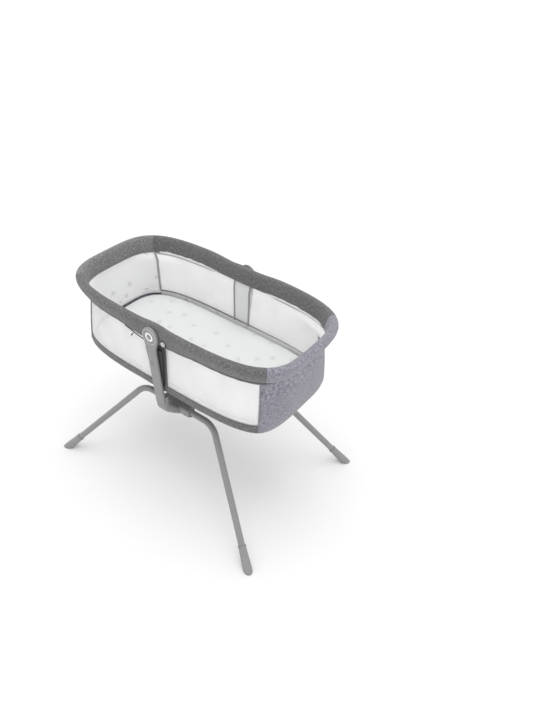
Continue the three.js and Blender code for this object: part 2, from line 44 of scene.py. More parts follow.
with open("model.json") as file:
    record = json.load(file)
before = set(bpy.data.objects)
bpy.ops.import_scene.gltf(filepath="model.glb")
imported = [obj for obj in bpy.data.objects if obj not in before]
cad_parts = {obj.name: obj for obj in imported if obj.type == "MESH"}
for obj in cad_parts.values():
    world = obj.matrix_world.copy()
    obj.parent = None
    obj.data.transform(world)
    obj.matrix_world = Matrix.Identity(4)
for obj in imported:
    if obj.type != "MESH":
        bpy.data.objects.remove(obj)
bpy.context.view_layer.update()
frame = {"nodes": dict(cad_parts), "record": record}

CLOTH_UV = "cloth"


def linear(hex_colour):
    """A colour from sRGB hex digits to linear red, green, blue and alpha."""
    parts = [int(hex_colour[i : i + 2], 16) / 255 for i in (0, 2, 4)]
    return tuple(c / 12.92 if c <= 0.04045 else ((c + 0.055) / 1.055) ** 2.4 for c in parts) + (1.0,)


# ---------------------------------------------------------------- settings


class BassinetSizes(bpy.types.PropertyGroup):
    """Sizes of the soft parts and of the round parts of the stand."""

    rim_bulge: FloatProperty(name="Rim softness", description="How round the rim's section is",
                             default=2.7, min=2.0, max=6.0)
    hub_swell: FloatProperty(name="Hub swell", description="How far the rim swells over a hub",
                             default=0.004, unit="LENGTH")
    cloth: FloatProperty(name="Cloth", description="Thickness of the outer cloth",
                         default=0.0018, unit="LENGTH")
    piping: FloatProperty(name="Piping", description="Radius of the seam piping",
                          default=0.0028, unit="LENGTH")
    edge: FloatProperty(name="Plastic edge", description="Edge rounding of the post",
                        default=0.0035, unit="LENGTH")
    leg_radius: FloatProperty(name="Leg radius", description="Radius of a leg tube",
                              default=0.011, unit="LENGTH")


def colour_setting(name, description, hex_colour):
    return FloatVectorProperty(name=name, description=description, subtype="COLOR", size=4,
                               default=linear(hex_colour))


class BassinetColours(bpy.types.PropertyGroup):
    """Main colours, as linear values."""

    rim: colour_setting("Rim cloth", "Dark melange", "686868")
    panel: colour_setting("End panel", "Lavender grey melange", "8a8993")
    plastic: colour_setting("Plastic", "Posts and caps", "8b8b8b")
    paint: colour_setting("Leg paint", "Powder coat", "868686")
    lining: colour_setting("Lining", "Cotton lining", "f6f6f6")


def sizes():
    return bpy.context.scene.bassinet_sizes


def colours():
    return bpy.context.scene.bassinet_colours


# ---------------------------------------------------------------- plan of the basket, in metres

RIM_A, RIM_B, RIM_POWER = 0.4145, 0.210, 3.97
TOP_A, TOP_B, TOP_POWER = 0.410, 0.2015, 3.0
FLOOR_A, FLOOR_B, FLOOR_POWER = 0.402, 0.2035, 4.7
PIVOT_Z = 0.698
RIM_HALF_THICK, RIM_HALF_TALL, RIM_TAPER = 0.0144, 0.030, 0.18
RIM_TILT, RIM_LIFT = math.radians(19.5), 0.005
HUB_HALF, TILT_START, TILT_FULL = 0.070, 0.030, 0.165
RIM_LOW_Z = PIVOT_Z - RIM_HALF_TALL
RIM_TOP_SEAM = -0.0265
CLOTH_TOP_Z = RIM_LOW_Z + 0.004
REACH = 0.028
FLOOR_Z = 0.466
BAND_TOP_Z = 0.500
END_RISE = 0.008
COLUMN_HALF = 0.034
MATTRESS_TOP_Z = 0.511
MATTRESS_SEAM_Z = MATTRESS_TOP_Z + 0.003
SEAM_ANGLE = math.radians(23.4)
SEAM_LEAN = math.radians(2.6)


def smoothstep(value, low, high):
    t = np.clip((value - low) / (high - low), 0, 1)
    return t * t * (3 - 2 * t)


def outline(angle, a, b, power):
    """A superellipse in a given direction from its middle: x and y, and the unit vector out of it."""
    radius = (np.abs(np.cos(angle) / a) ** power + np.abs(np.sin(angle) / b) ** power) ** (-1 / power)
    x, y = radius * np.cos(angle), radius * np.sin(angle)
    nx = np.sign(x) * np.abs(x / a) ** (power - 1) / a
    ny = np.sign(y) * np.abs(y / b) ** (power - 1) / b
    length = np.hypot(nx, ny)
    return x, y, nx / length, ny / length


ANGLES = np.linspace(-math.pi / 2, 1.5 * math.pi, 4001)
RIM_LINE = np.stack(outline(ANGLES, RIM_A, RIM_B, RIM_POWER)[:2], -1)
RUNS = np.concatenate([[0.0], np.cumsum(np.linalg.norm(np.diff(RIM_LINE, axis=0), axis=1))])
ROUND = float(RUNS[-1])
HALF_ROUND = ROUND / 2
SEAM_RUN = float(np.interp(-SEAM_ANGLE, ANGLES, RUNS))
FACES = (("front", 0.0), ("rear", HALF_ROUND))
ENDS = (("foot", 0.0), ("head", HALF_ROUND))


def angle_at(s):
    return np.interp(np.mod(s, ROUND), RUNS, ANGLES)


def lean_share(s):
    """0 over the hubs, 1 where the rim leans fully outwards."""
    past = np.mod(s, HALF_ROUND)
    return smoothstep(np.minimum(past, HALF_ROUND - past), TILT_START, TILT_FULL)


def wall(s, z, out=0.0):
    """Points of the basket's wall.

    s runs along the rim line from the front middle towards the foot end, z is the height and out the
    distance outside the wall's middle. The plan is a superellipse whose half axes and power go from the
    floor's to the top's with height. The low edge rises with the fourth power of x towards the ends, the
    upright seams lean by a sine of twice the angle, and the last 28 mm bend out to the rim's underside.
    """
    s, z, out = np.broadcast_arrays(np.asarray(s, float), z, out)
    angle = angle_at(s)
    high = np.clip((z - FLOOR_Z) / (RIM_LOW_Z - FLOOR_Z), 0, 1)
    angle = angle + SEAM_LEAN * np.sin(2 * angle) * (1 - high)
    a = FLOOR_A + (TOP_A - FLOOR_A) * high
    b = FLOOR_B + (TOP_B - FLOOR_B) * high
    x, y, nx, ny = outline(angle, a, b, FLOOR_POWER + (TOP_POWER - FLOOR_POWER) * high)
    rise = END_RISE * (x / a) ** 4 * (1 - high) + RIM_LIFT * lean_share(s) * high
    plain = np.stack([x + out * nx, y + out * ny, z + rise], -1)
    reach = smoothstep(z, CLOTH_TOP_Z - REACH, CLOTH_TOP_Z)[..., None]
    return plain * (1 - reach) + rim_point(s, out, RIM_TOP_SEAM + 0 * z) * reach


def rim_point(s, out, up):
    """Points of the rim's section, out and up from its middle, turned outwards by the rim's lean."""
    s, out, up = np.broadcast_arrays(np.asarray(s, float), out, up)
    x, y, nx, ny = outline(angle_at(s), RIM_A, RIM_B, RIM_POWER)
    share = lean_share(s)
    c, w = np.cos(RIM_TILT * share), np.sin(RIM_TILT * share)
    level, height = out * c + up * w, up * c - out * w
    return np.stack([x + nx * level, y + ny * level, PIVOT_Z + RIM_LIFT * share + height], -1)


# ---------------------------------------------------------------- mesh making


def add_object(name, data):
    piece = bpy.data.objects.new(name, data)
    bpy.context.scene.collection.objects.link(piece)
    return piece


def smooth(mesh):
    mesh.polygons.foreach_set("use_smooth", np.ones(len(mesh.polygons), bool))
    mesh.update()


def read_points(mesh):
    points = np.empty(len(mesh.vertices) * 3, np.float32)
    mesh.vertices.foreach_get("co", points)
    return points.reshape(-1, 3)


def make_object(name, points, faces, corner_uv=None):
    mesh = bpy.data.meshes.new(name)
    mesh.from_pydata(points.tolist(), [], faces)
    if corner_uv is not None:
        layer = mesh.uv_layers.new(name=CLOTH_UV)
        layer.data.foreach_set("uv", np.asarray(corner_uv, np.float32).ravel())
    smooth(mesh)
    return add_object(name, mesh)


def signed_volume(points, faces):
    total = 0.0
    for size in (3, 4):
        part = np.array([f for f in faces if len(f) == size])
        for k in range(1, size - 1):
            if len(part):
                a, b, c = points[part[:, 0]], points[part[:, k]], points[part[:, k + 1]]
                total += (a * np.cross(b, c)).sum() / 6
    return total


def surface(name, grid, around=False, along=False, capped=False, sealed=False, flip=False, uv=None):
    """Joins grid[i, j] into quads. around closes j, along closes i, capped fills both end rings.

    sealed says that the end rings fold shut on themselves. A closed piece is turned to face outwards by
    the sign of its volume; an open one by flip. The cloth map holds distances in metres, along i and
    along j, unless uv gives them.
    """
    n, m = grid.shape[:2]
    points = grid.reshape(-1, 3)
    i, j = np.meshgrid(np.arange(n if along else n - 1), np.arange(m if around else m - 1), indexing="ij")
    corners = [(i, j), (i + 1, j), (i + 1, j + 1), (i, j + 1)]
    quads = np.stack([(a % n) * m + b % m for a, b in corners], -1).reshape(-1, 4)
    if uv is None:
        wide = np.concatenate([grid, grid[:, :1]], 1) if around else grid
        tall = np.concatenate([wide, wide[:1]], 0) if along else wide
        step_i = np.linalg.norm(np.diff(tall, axis=0), axis=2).mean(1)
        step_j = np.linalg.norm(np.diff(tall, axis=1), axis=2).mean(0)
        uv = (np.concatenate([[0], np.cumsum(step_i)]), np.concatenate([[0], np.cumsum(step_j)]))
    corner_uv = np.stack([np.stack([uv[0][a], uv[1][b]], -1) for a, b in corners], -2).reshape(-1, 4, 2)
    faces, maps = quads.tolist(), list(corner_uv)
    if capped:
        for row, index in ((0, 0), (n - 1, 1)):
            ring = np.arange(m) + row * m
            nxt = np.roll(ring, -1)
            middle = len(points)
            points = np.concatenate([points, grid[row].mean(0)[None]])
            order = (nxt, ring) if index == 0 else (ring, nxt)
            faces += np.stack([order[0], order[1], np.full(m, middle)], -1).tolist()
            flat = np.stack([grid[row, :, 0], grid[row, :, 1]], -1)
            ring_uv, next_uv = (np.roll(flat, -1, 0), flat) if index == 0 else (flat, np.roll(flat, -1, 0))
            maps += list(np.stack([ring_uv, next_uv, np.broadcast_to(flat.mean(0), (m, 2))], 1))
    closed = sealed or (around and (along or capped))
    if (closed and signed_volume(points, faces) < 0) or (not closed and flip):
        faces = [face[::-1] for face in faces]
        maps = [corner[::-1] for corner in maps]
    return make_object(name, points, faces, np.concatenate(maps))


def merge_close(piece, distance=1e-5):
    shape = bmesh.new()
    shape.from_mesh(piece.data)
    bmesh.ops.remove_doubles(shape, verts=shape.verts, dist=distance)
    bmesh.ops.dissolve_degenerate(shape, edges=shape.edges, dist=1e-6)
    shape.to_mesh(piece.data)
    shape.free()
    return piece


def thicken(piece, thickness, offset=-1.0):
    """Gives an open cloth its thickness; offset -1 grows inwards, 0 both ways."""
    wall_maker = piece.modifiers.new("thickness", "SOLIDIFY")
    wall_maker.thickness = thickness
    wall_maker.offset = offset
    wall_maker.use_even_offset = False
    return piece


def circle_angles(count):
    return np.arange(count) * 2 * math.pi / count


def upright_ring(count):
    """Unit vectors round a circle that faces along Y."""
    t = circle_angles(count)
    return np.stack([np.cos(t), 0 * t, np.sin(t)], -1)


def superellipse(half_x, half_y, power, count):
    """A ring of points of |x/a|^n + |y/b|^n = 1, counted round from +x."""
    t = circle_angles(count)
    ring = np.stack([np.cos(t), np.sin(t)], -1)
    return np.sign(ring) * np.abs(ring) ** (2 / power) * [half_x, half_y]


def carried(path, side, up, section):
    """Section rings carried along a path: point + side * x + up * y. section is (m, 2) or (n, m, 2)."""
    section = np.broadcast_to(section, (len(path),) + section.shape[-2:])
    return path[:, None] + side[:, None] * section[..., :1] + up[:, None] * section[..., 1:]


def frames(path, normal):
    """Side and up vectors of a path that lies in the plane with this normal."""
    way = np.gradient(path, axis=0)
    way /= np.linalg.norm(way, axis=1, keepdims=True)
    side = np.broadcast_to(np.asarray(normal, float), path.shape)
    return side, np.cross(way, side)


def level_frames(path, side):
    """The same side vector, and straight up, at every point of a path."""
    return np.broadcast_to(np.asarray(side, float), path.shape), np.broadcast_to([0, 0, 1.0], path.shape)


def cord_tube(name, path, radius, sides=10, closed=False):
    """A round cord along a smooth path; radius is one value or one for each point."""
    way = (np.roll(path, -1, 0) - np.roll(path, 1, 0)) if closed else np.gradient(path, axis=0)
    way /= np.linalg.norm(way, axis=1, keepdims=True)
    level = np.abs(way[:, 2:]) < 0.9
    helper = np.where(level, [[0.0, 0.0, 1.0]], [[1.0, 0.0, 0.0]])
    side = np.cross(way, helper)
    side /= np.linalg.norm(side, axis=1, keepdims=True)
    section = superellipse(1.0, 1.0, 2, sides) * np.broadcast_to(radius, len(path))[:, None, None]
    grid = carried(path, side, np.cross(side, way), section)
    return surface(name, grid, around=True, along=closed, capped=not closed)


def turned(name, profile, middle, axis, sides=40):
    """A profile of [radius, height] rows turned round an axis through middle."""
    profile = np.array(profile, float)
    axis = np.asarray(axis, float) / np.linalg.norm(axis)
    helper = np.array([0.0, 0.0, 1.0]) if abs(axis[2]) < 0.9 else np.array([1.0, 0.0, 0.0])
    side = np.cross(axis, helper)
    side /= np.linalg.norm(side)
    up = np.cross(axis, side)
    t = circle_angles(sides)
    ring = side * np.cos(t)[:, None] + up * np.sin(t)[:, None]
    grid = middle + profile[:, None, 1:] * axis + profile[:, None, :1] * ring
    return merge_close(surface(name, grid, around=True, capped=True))


def rear_name(name):
    return name.replace("front", "rear")


def half_turn(piece):
    """A copy of a front piece, turned half round for the rear."""
    mesh = piece.data.copy()
    mesh.name = rear_name(piece.name)
    mesh.transform(Matrix.Rotation(math.pi, 4, "Z"))
    return add_object(mesh.name, mesh)


def place(piece, body, slot, finish, *nodes):
    piece.data.materials.clear()
    piece.data.materials.append(finish)
    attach(piece, body)
    if nodes:
        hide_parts(*nodes)
    return piece


def place_both(piece, body, slot, finish, *nodes):
    """Places a front piece, and its half-turned copy on the rear's body in place of the rear's nodes."""
    place(half_turn(piece), rear_name(body), slot, finish, *(rear_name(node) for node in nodes))
    place(piece, body, slot, finish, *nodes)


PUFF_STEPS, PUFF_PRESSURE, PUFF_VOXEL = 20, 4.0, 0.006


def puff(piece, cap):
    """Swells a closed piece as filled cloth, no point moving more than cap, and applies the result."""
    scene = bpy.context.scene
    bpy.context.view_layer.objects.active = piece
    for other in bpy.context.selected_objects:
        other.select_set(False)
    piece.select_set(True)
    remesh = piece.modifiers.new("even mesh", "REMESH")
    remesh.mode = "VOXEL"
    remesh.voxel_size = PUFF_VOXEL
    bpy.ops.object.modifier_apply(modifier=remesh.name)
    start = read_points(piece.data)
    cloth = piece.modifiers.new("filled cloth", "CLOTH")
    cloth.settings.use_pressure = True
    cloth.settings.uniform_pressure_force = PUFF_PRESSURE
    cloth.settings.effector_weights.gravity = 0.0
    cloth.settings.quality = 4
    cloth.point_cache.frame_start = 1
    cloth.point_cache.frame_end = PUFF_STEPS
    for step in range(1, PUFF_STEPS + 1):
        scene.frame_set(step)
    shape = piece.evaluated_get(bpy.context.evaluated_depsgraph_get())
    move = read_points(shape.data) - start
    length = np.linalg.norm(move, axis=1, keepdims=True)
    move *= np.minimum(1, cap / np.maximum(length, 1e-9))
    piece.modifiers.remove(cloth)
    scene.frame_set(1)
    piece.data.vertices.foreach_set("co", (start + move).ravel())
    smooth(piece.data)
    return piece


# ---------------------------------------------------------------- materials


def add_node(tree, kind, inputs=None, **settings):
    node = tree.nodes.new(kind)
    for key, value in settings.items():
        setattr(node, key, value)
    for key, value in (inputs or {}).items():
        if isinstance(value, bpy.types.NodeSocket):
            tree.links.new(value, node.inputs[key])
        else:
            node.inputs[key].default_value = value
    return node


def new_finish(name):
    finish = bpy.data.materials.new(name)
    finish.use_nodes = True
    tree = finish.node_tree
    tree.nodes.clear()
    return finish, tree


def scaled(tree, source, scale):
    return add_node(tree, "ShaderNodeMapping", {"Vector": source, "Scale": scale}).outputs[0]


def shade(colour, factor):
    return tuple(c * factor for c in colour[:3]) + (1.0,)


def ramp(tree, value, stops):
    node = add_node(tree, "ShaderNodeValToRGB", {"Fac": value})
    elements = node.color_ramp.elements
    while len(elements) < len(stops):
        elements.new(0.5)
    for element, (position, colour) in zip(elements, stops):
        element.position = position
        element.color = colour
    return node.outputs[0]


def tinge(tree, value, colour, dark, light):
    """A colour that drifts between two shades of itself with a value from 0.3 to 0.7."""
    return ramp(tree, value, [(0.3, shade(colour, dark)), (0.7, shade(colour, light))])


def noise(tree, vector, scale, **more):
    """A noise's value; scale is one number for all axes or one for each."""
    if isinstance(scale, tuple):
        vector, scale = scaled(tree, vector, scale), 1.0
    return add_node(tree, "ShaderNodeTexNoise", {"Vector": vector, "Scale": scale, **more}).outputs[0]


def waves(tree, vector, scale, distortion=0.0, direction="X"):
    """Sine bands, pi / (10 * scale) metres apart."""
    inputs = {"Vector": vector, "Scale": scale, "Distortion": distortion}
    return add_node(tree, "ShaderNodeTexWave", inputs, bands_direction=direction).outputs[1]


def combine(tree, kind, operation, first, second):
    return add_node(tree, kind, {0: first, 1: second}, operation=operation).outputs[0]


def bump(tree, height, strength, distance, **more):
    inputs = {"Height": height, "Strength": strength, "Distance": distance, **more}
    return add_node(tree, "ShaderNodeBump", inputs).outputs[0]


def ranged(tree, value, **limits):
    names = {key.replace("_", " ").title(): limit for key, limit in limits.items()}
    return add_node(tree, "ShaderNodeMapRange", {"Value": value, **names}).outputs[0]


def cloth_map(tree):
    return add_node(tree, "ShaderNodeUVMap", uv_map=CLOTH_UV).outputs[0]


def object_map(tree):
    return add_node(tree, "ShaderNodeTexCoord").outputs["Object"]


def close(tree, base, roughness, more):
    """Ends a finish in one shader and the output."""
    inputs = {"Base Color": base, "Roughness": roughness, **more}
    shader = add_node(tree, "ShaderNodeBsdfPrincipled", inputs)
    add_node(tree, "ShaderNodeOutputMaterial", {"Surface": shader.outputs[0]})


def melange_weave(name, colour, contrast=0.36):
    """Woven melange polyester: dark and light staple threads cross, so it is flecked and quite matt.

    Threads are 0.8 mm apart in the bump; the flecks are drawn 2.5 mm wide and 10 mm long so that they show.
    """
    finish, tree = new_finish(name)
    cloth = cloth_map(tree)
    warp_flecks = noise(tree, cloth, (105, 400, 1), Detail=3.0, Roughness=0.6)
    weft_flecks = noise(tree, cloth, (400, 105, 1), Detail=3.0, Roughness=0.6)
    both = add_node(tree, "ShaderNodeMix", {"Factor": 0.5, 2: warp_flecks, 3: weft_flecks}).outputs[0]
    base = ramp(tree, both, [(0.36, shade(colour, 1 - 1.6 * contrast)), (0.5, colour),
                             (0.63, shade(colour, 1 + 1.9 * contrast))])
    tone = tinge(tree, noise(tree, cloth, 14.0), (1, 1, 1), 0.93, 1.05)
    tinted = add_node(tree, "ShaderNodeMix", {"Factor": 1.0, 6: base, 7: tone}, data_type="RGBA",
                      blend_type="MULTIPLY")
    warp, weft = waves(tree, cloth, 400.0), waves(tree, cloth, 400.0, direction="Y")
    weave = combine(tree, "ShaderNodeMath", "MULTIPLY", warp, weft)
    slub = combine(tree, "ShaderNodeMath", "ADD", weave, both)
    close(tree, tinted.outputs[2], 0.92, {"Normal": bump(tree, slub, 0.5, 0.0006), "Sheen Weight": 0.25,
                                          "Sheen Roughness": 0.5, "Specular IOR Level": 0.25})
    return finish


def printed_cotton(name, colour):
    """White cotton lining with a sparse grey print of small blots, one in about 80 mm."""
    finish, tree = new_finish(name)
    cloth = cloth_map(tree)
    wobble = add_node(tree, "ShaderNodeTexNoise", {"Vector": cloth, "Scale": 190.0})
    shift = combine(tree, "ShaderNodeVectorMath", "SUBTRACT", wobble.outputs[1], (0.5, 0.5, 0.5))
    strong = combine(tree, "ShaderNodeVectorMath", "MULTIPLY", shift, (0.42, 0.42, 0.42))
    cells = scaled(tree, cloth, (12.5, 12.5, 1))
    placed = combine(tree, "ShaderNodeVectorMath", "ADD", cells, strong)
    dots = add_node(tree, "ShaderNodeTexVoronoi", {"Vector": placed, "Scale": 1.0, "Randomness": 0.75},
                    voronoi_dimensions="2D")
    blot = ramp(tree, dots.outputs[0], [(0.09, (1, 1, 1, 1)), (0.14, (0, 0, 0, 1))])
    worn = ramp(tree, noise(tree, cloth, 420.0), [(0.42, (0, 0, 0, 1)), (0.55, (1, 1, 1, 1))])
    mask = combine(tree, "ShaderNodeMath", "MULTIPLY", blot, worn)
    faint = combine(tree, "ShaderNodeMath", "MULTIPLY", mask, 0.75)
    tinted = add_node(tree, "ShaderNodeMix", {"Factor": faint, 6: colour, 7: linear("bdc0c0")},
                      data_type="RGBA")
    fold = bump(tree, noise(tree, cloth, 22.0, Detail=3.0), 0.35, 0.004)
    thread = bump(tree, noise(tree, cloth, 1400.0), 0.3, 0.0003, Normal=fold)
    close(tree, tinted.outputs[2], 0.85, {"Normal": thread, "Sheen Weight": 0.15, "Sheen Roughness": 0.5,
                                          "Specular IOR Level": 0.25})
    return finish


MESH_OPENNESS = 0.42


def knitted_mesh(name):
    """Warp-knitted polyester: a thin white net whose round holes, 3 mm apart, let light through."""
    finish, tree = new_finish(name)
    cloth = cloth_map(tree)
    dots = add_node(tree, "ShaderNodeTexVoronoi", {"Vector": cloth, "Scale": 330.0, "Randomness": 0.0},
                    voronoi_dimensions="2D")
    radius = math.sqrt(MESH_OPENNESS / math.pi)
    hole = ramp(tree, dots.outputs[0], [(radius - 0.04, (0, 0, 0, 1)), (radius + 0.04, (1, 1, 1, 1))])
    tone = ramp(tree, noise(tree, cloth, 12.0), [(0.3, linear("f0f0f0")), (0.7, linear("fafafa"))])
    close(tree, tone, 0.8, {"Normal": bump(tree, hole, 0.4, 0.0004), "Alpha": hole, "Sheen Weight": 0.2,
                            "Specular IOR Level": 0.3})
    return finish


def ribbed_tape(name, colour):
    """Woven tape with fine ribs 4 mm apart along its length."""
    finish, tree = new_finish(name)
    ribs = waves(tree, cloth_map(tree), 80.0, distortion=0.2)
    tone = ramp(tree, ribs, [(0.2, shade(colour, 0.86)), (0.8, colour)])
    close(tree, tone, 0.85, {"Normal": bump(tree, ribs, 0.5, 0.001), "Specular IOR Level": 0.3})
    return finish


def moulded_plastic(name, colour, roughness=0.5, grain=0.35):
    """Injection moulded ABS with a fine spark-eroded grain 0.5 mm across, slightly uneven in gloss."""
    finish, tree = new_finish(name)
    where = object_map(tree)
    grit = noise(tree, where, 1900.0, Detail=2.0)
    cloud = noise(tree, where, 22.0, Detail=3.0)
    gloss = ranged(tree, cloud, from_min=0.3, from_max=0.7, to_min=roughness - 0.06,
                   to_max=roughness + 0.06)
    close(tree, tinge(tree, cloud, colour, 0.95, 1.04), gloss,
          {"Normal": bump(tree, grit, grain, 0.0002), "IOR": 1.5})
    return finish


def powder_coat(name, colour):
    """Powder coated steel tube: even satin paint with an orange peel about 1.5 mm across."""
    finish, tree = new_finish(name)
    where = object_map(tree)
    peel = noise(tree, where, 650.0, Detail=1.0)
    cloud = noise(tree, where, 30.0, Detail=4.0)
    close(tree, tinge(tree, cloud, colour, 0.96, 1.04), 0.38,
          {"Normal": bump(tree, peel, 0.2, 0.0003), "Coat Weight": 0.2, "Coat Roughness": 0.3, "IOR": 1.5})
    return finish


def zinc_steel(name):
    """Zinc plated steel with streaks along X left by drawing, so that the gloss is uneven."""
    finish, tree = new_finish(name)
    streak = noise(tree, object_map(tree), (40, 900, 900), Detail=3.0)
    tone = ramp(tree, streak, [(0.3, linear("a9abad")), (0.7, linear("c6c8ca"))])
    gloss = ranged(tree, streak, to_min=0.28, to_max=0.45)
    close(tree, tone, gloss, {"Metallic": 1.0})
    return finish


def studio_floor(name):
    """Plain pale seamless floor."""
    finish, tree = new_finish(name)
    close(tree, linear("ededed"), 0.9, {"Specular IOR Level": 0.1})
    return finish


FINISHES = {}


def finish(name):
    return FINISHES[name]


def make_finishes():
    c = colours()
    FINISHES["rim"] = melange_weave("dark_melange_weave", tuple(c.rim))
    FINISHES["panel"] = melange_weave("lavender_melange_weave", tuple(c.panel), 0.34)
    FINISHES["head"] = melange_weave("light_melange_weave", linear("7c7c7c"))
    FINISHES["tape"] = melange_weave("dark_zip_tape", linear("565656"), 0.08)
    FINISHES["piping"] = melange_weave("grey_piping", linear("a2a2a2"), 0.08)
    FINISHES["lining"] = printed_cotton("printed_cotton", tuple(c.lining))
    FINISHES["pad"] = printed_cotton("printed_cotton_pad", linear("dfe0e0"))
    FINISHES["line"] = melange_weave("grey_seam_line", linear("828282"), 0.08)
    FINISHES["mark"] = moulded_plastic("recessed_mark", linear("6a6a6a"))
    FINISHES["mesh"] = knitted_mesh("white_knitted_mesh")
    FINISHES["ribs"] = ribbed_tape("pale_ribbed_tape", linear("ecedec"))
    FINISHES["plastic"] = moulded_plastic("grey_moulded_plastic", tuple(c.plastic))
    FINISHES["black"] = moulded_plastic("black_moulded_plastic", linear("202021"), 0.45)
    FINISHES["pale"] = moulded_plastic("pale_moulded_trim", linear("eceeee"), 0.3, 0.1)
    FINISHES["button"] = moulded_plastic("light_grey_button", linear("b9b9b9"), 0.4, 0.1)
    FINISHES["paint"] = powder_coat("grey_powder_coat", tuple(c.paint))
    FINISHES["steel"] = zinc_steel("zinc_plated_steel")
    FINISHES["board"] = moulded_plastic("stiff_base_board", linear("6f6a62"), 0.8, 0.5)


# ---------------------------------------------------------------- rim and cloth


def ripple(s, period, seed):
    """A slow, uneven wave along the run: three sines whose periods don't divide each other."""
    k = 2 * math.pi / period
    second, third = 0.6 * np.sin(1.618 * k * s + 2.1 * seed), 0.4 * np.sin(2.732 * k * s + seed)
    return (np.sin(k * s + seed) + second + third) / 2


def hub_bump(s):
    """1 over each hub and 0 from 70 mm away, as a raised cosine."""
    near = np.minimum(np.mod(s, HALF_ROUND), HALF_ROUND - np.mod(s, HALF_ROUND))
    return np.where(near < HUB_HALF, np.cos(math.pi * near / (2 * HUB_HALF)) ** 2, 0)


def seam_distance(s):
    """Distance along the rim to the nearest corner seam."""
    near = np.mod(s, HALF_ROUND)
    return np.minimum(np.abs(near - SEAM_RUN), np.abs(near - HALF_ROUND + SEAM_RUN))


RIM_SIDES, RIM_STEP, SEAM_GAP = 48, 0.0034, 0.00015


def rim_runs(s0, s1):
    """Runs from seam to seam, closer together in the last 6 mm at each end."""
    close_by = np.array([0.0, 0.0005, 0.0012, 0.0022, 0.0036])
    middle = np.linspace(s0 + 0.006, s1 - 0.006, int((s1 - s0) / RIM_STEP))
    return np.concatenate([s0 + close_by, middle, s1 - close_by[::-1]])


def rim_cover(name, s0, s1):
    """A length of padded rim: a soft rectangle, thicker at its top, carried along the rim line.

    It swells over a hub, has tension dimples along its length, and draws in and puckers at its seams."""
    s = rim_runs(s0 + SEAM_GAP, s1 - SEAM_GAP)[:, None]
    section = superellipse(RIM_HALF_THICK, RIM_HALF_TALL, sizes().rim_bulge, RIM_SIDES)
    out, up = section[None, :, 0], section[None, :, 1]
    angle = circle_angles(RIM_SIDES)[None]
    swell = sizes().hub_swell * hub_bump(s)
    taper = 1 + RIM_TAPER * lean_share(s) * up / RIM_HALF_TALL
    dimple = 0.0005 * ripple(s, 0.11, 1.3) * np.cos(angle) + 0.0003 * ripple(s + 0.4 * up, 0.031, 0.6)
    near_seam = np.exp(-seam_distance(s) / 0.026)
    pucker = 0.0011 * near_seam * np.sin(up / 0.0021 + 30 * s) * smoothstep(-up, -0.004, 0.012)
    groove = 0.10 * np.clip(1 - seam_distance(s) / 0.0036, 0, 1) ** 2
    scale = (1 + (dimple + pucker) / RIM_HALF_THICK) * (1 - groove)
    inner, upper = smoothstep(-out, 0.0, 0.012), smoothstep(up, -0.006, 0.028)
    new_out = out * taper * scale - inner * swell * 0.5
    new_up = up * (1 - 0.3 * groove) + upper * swell
    return surface(name, rim_point(s, new_out, new_up), around=True, capped=True)


def make_rim():
    """Four padded covers that meet at the corner seams."""
    side_half, end_half = SEAM_RUN, HALF_ROUND / 2 - SEAM_RUN
    covers = (("front", "hub_sleeve", 0.0, side_half, "rim", "dark_melange"),
              ("foot", "rim_pad", HALF_ROUND / 2, end_half, "panel", "lilac_melange"),
              ("rear", "hub_sleeve", HALF_ROUND, side_half, "rim", "dark_melange"),
              ("head", "rim_pad", 1.5 * HALF_ROUND, end_half, "head", "dark_melange"))
    for side, node, middle, half, cloth, slot in covers:
        cover = rim_cover(f"{side}_rim_cover", middle - half, middle + half)
        place(cover, "basket", slot, finish(cloth), f"{side}_{node}")


HEM_FADE, HEM_THICK = 0.034, 0.0012
OUTER_HEM = [[0.0086, -0.0225], [0.0096, -0.0265], [0.0096, -0.0310], [0.0086, -0.0355], [0.0066, -0.0385]]
INNER_HEM = [[-0.0092, -0.0215], [-0.0092, -0.0255], [-0.0080, -0.0290], [-0.0050, -0.0315]]


def make_hems():
    """Flat tapes under the rim's lower edges along the sides; the outer one thins out past the seams."""
    hems = (("outer", OUTER_HEM, HEM_FADE, "tape", "dark_melange"),
            ("inner", INNER_HEM, -0.004, "ribs", "white_cloth"))
    for face, middle in FACES:
        for edge, rows, past, cloth, slot in hems:
            s = np.linspace(middle - SEAM_RUN - past, middle + SEAM_RUN + past, 260)[:, None]
            rows = np.array(rows)[None]
            left = smoothstep(SEAM_RUN + past - np.abs(s - middle), 0.0, HEM_FADE)
            left = left * (0.45 + 0.55 * lean_share(s))
            up = rows[:, :1, 1] + (rows[..., 1] - rows[:, :1, 1]) * left
            out = rows[..., 0] + 0.0006 * ripple(s, 0.05, 1.1) - np.sign(rows[..., 0]) * 0.0018 * (1 - left)
            hem = surface(f"{face}_{edge}_hem", rim_point(s, out, up), flip=edge == "outer")
            thicken(hem, HEM_THICK, 0)
            place(hem, "basket", slot, finish(cloth))


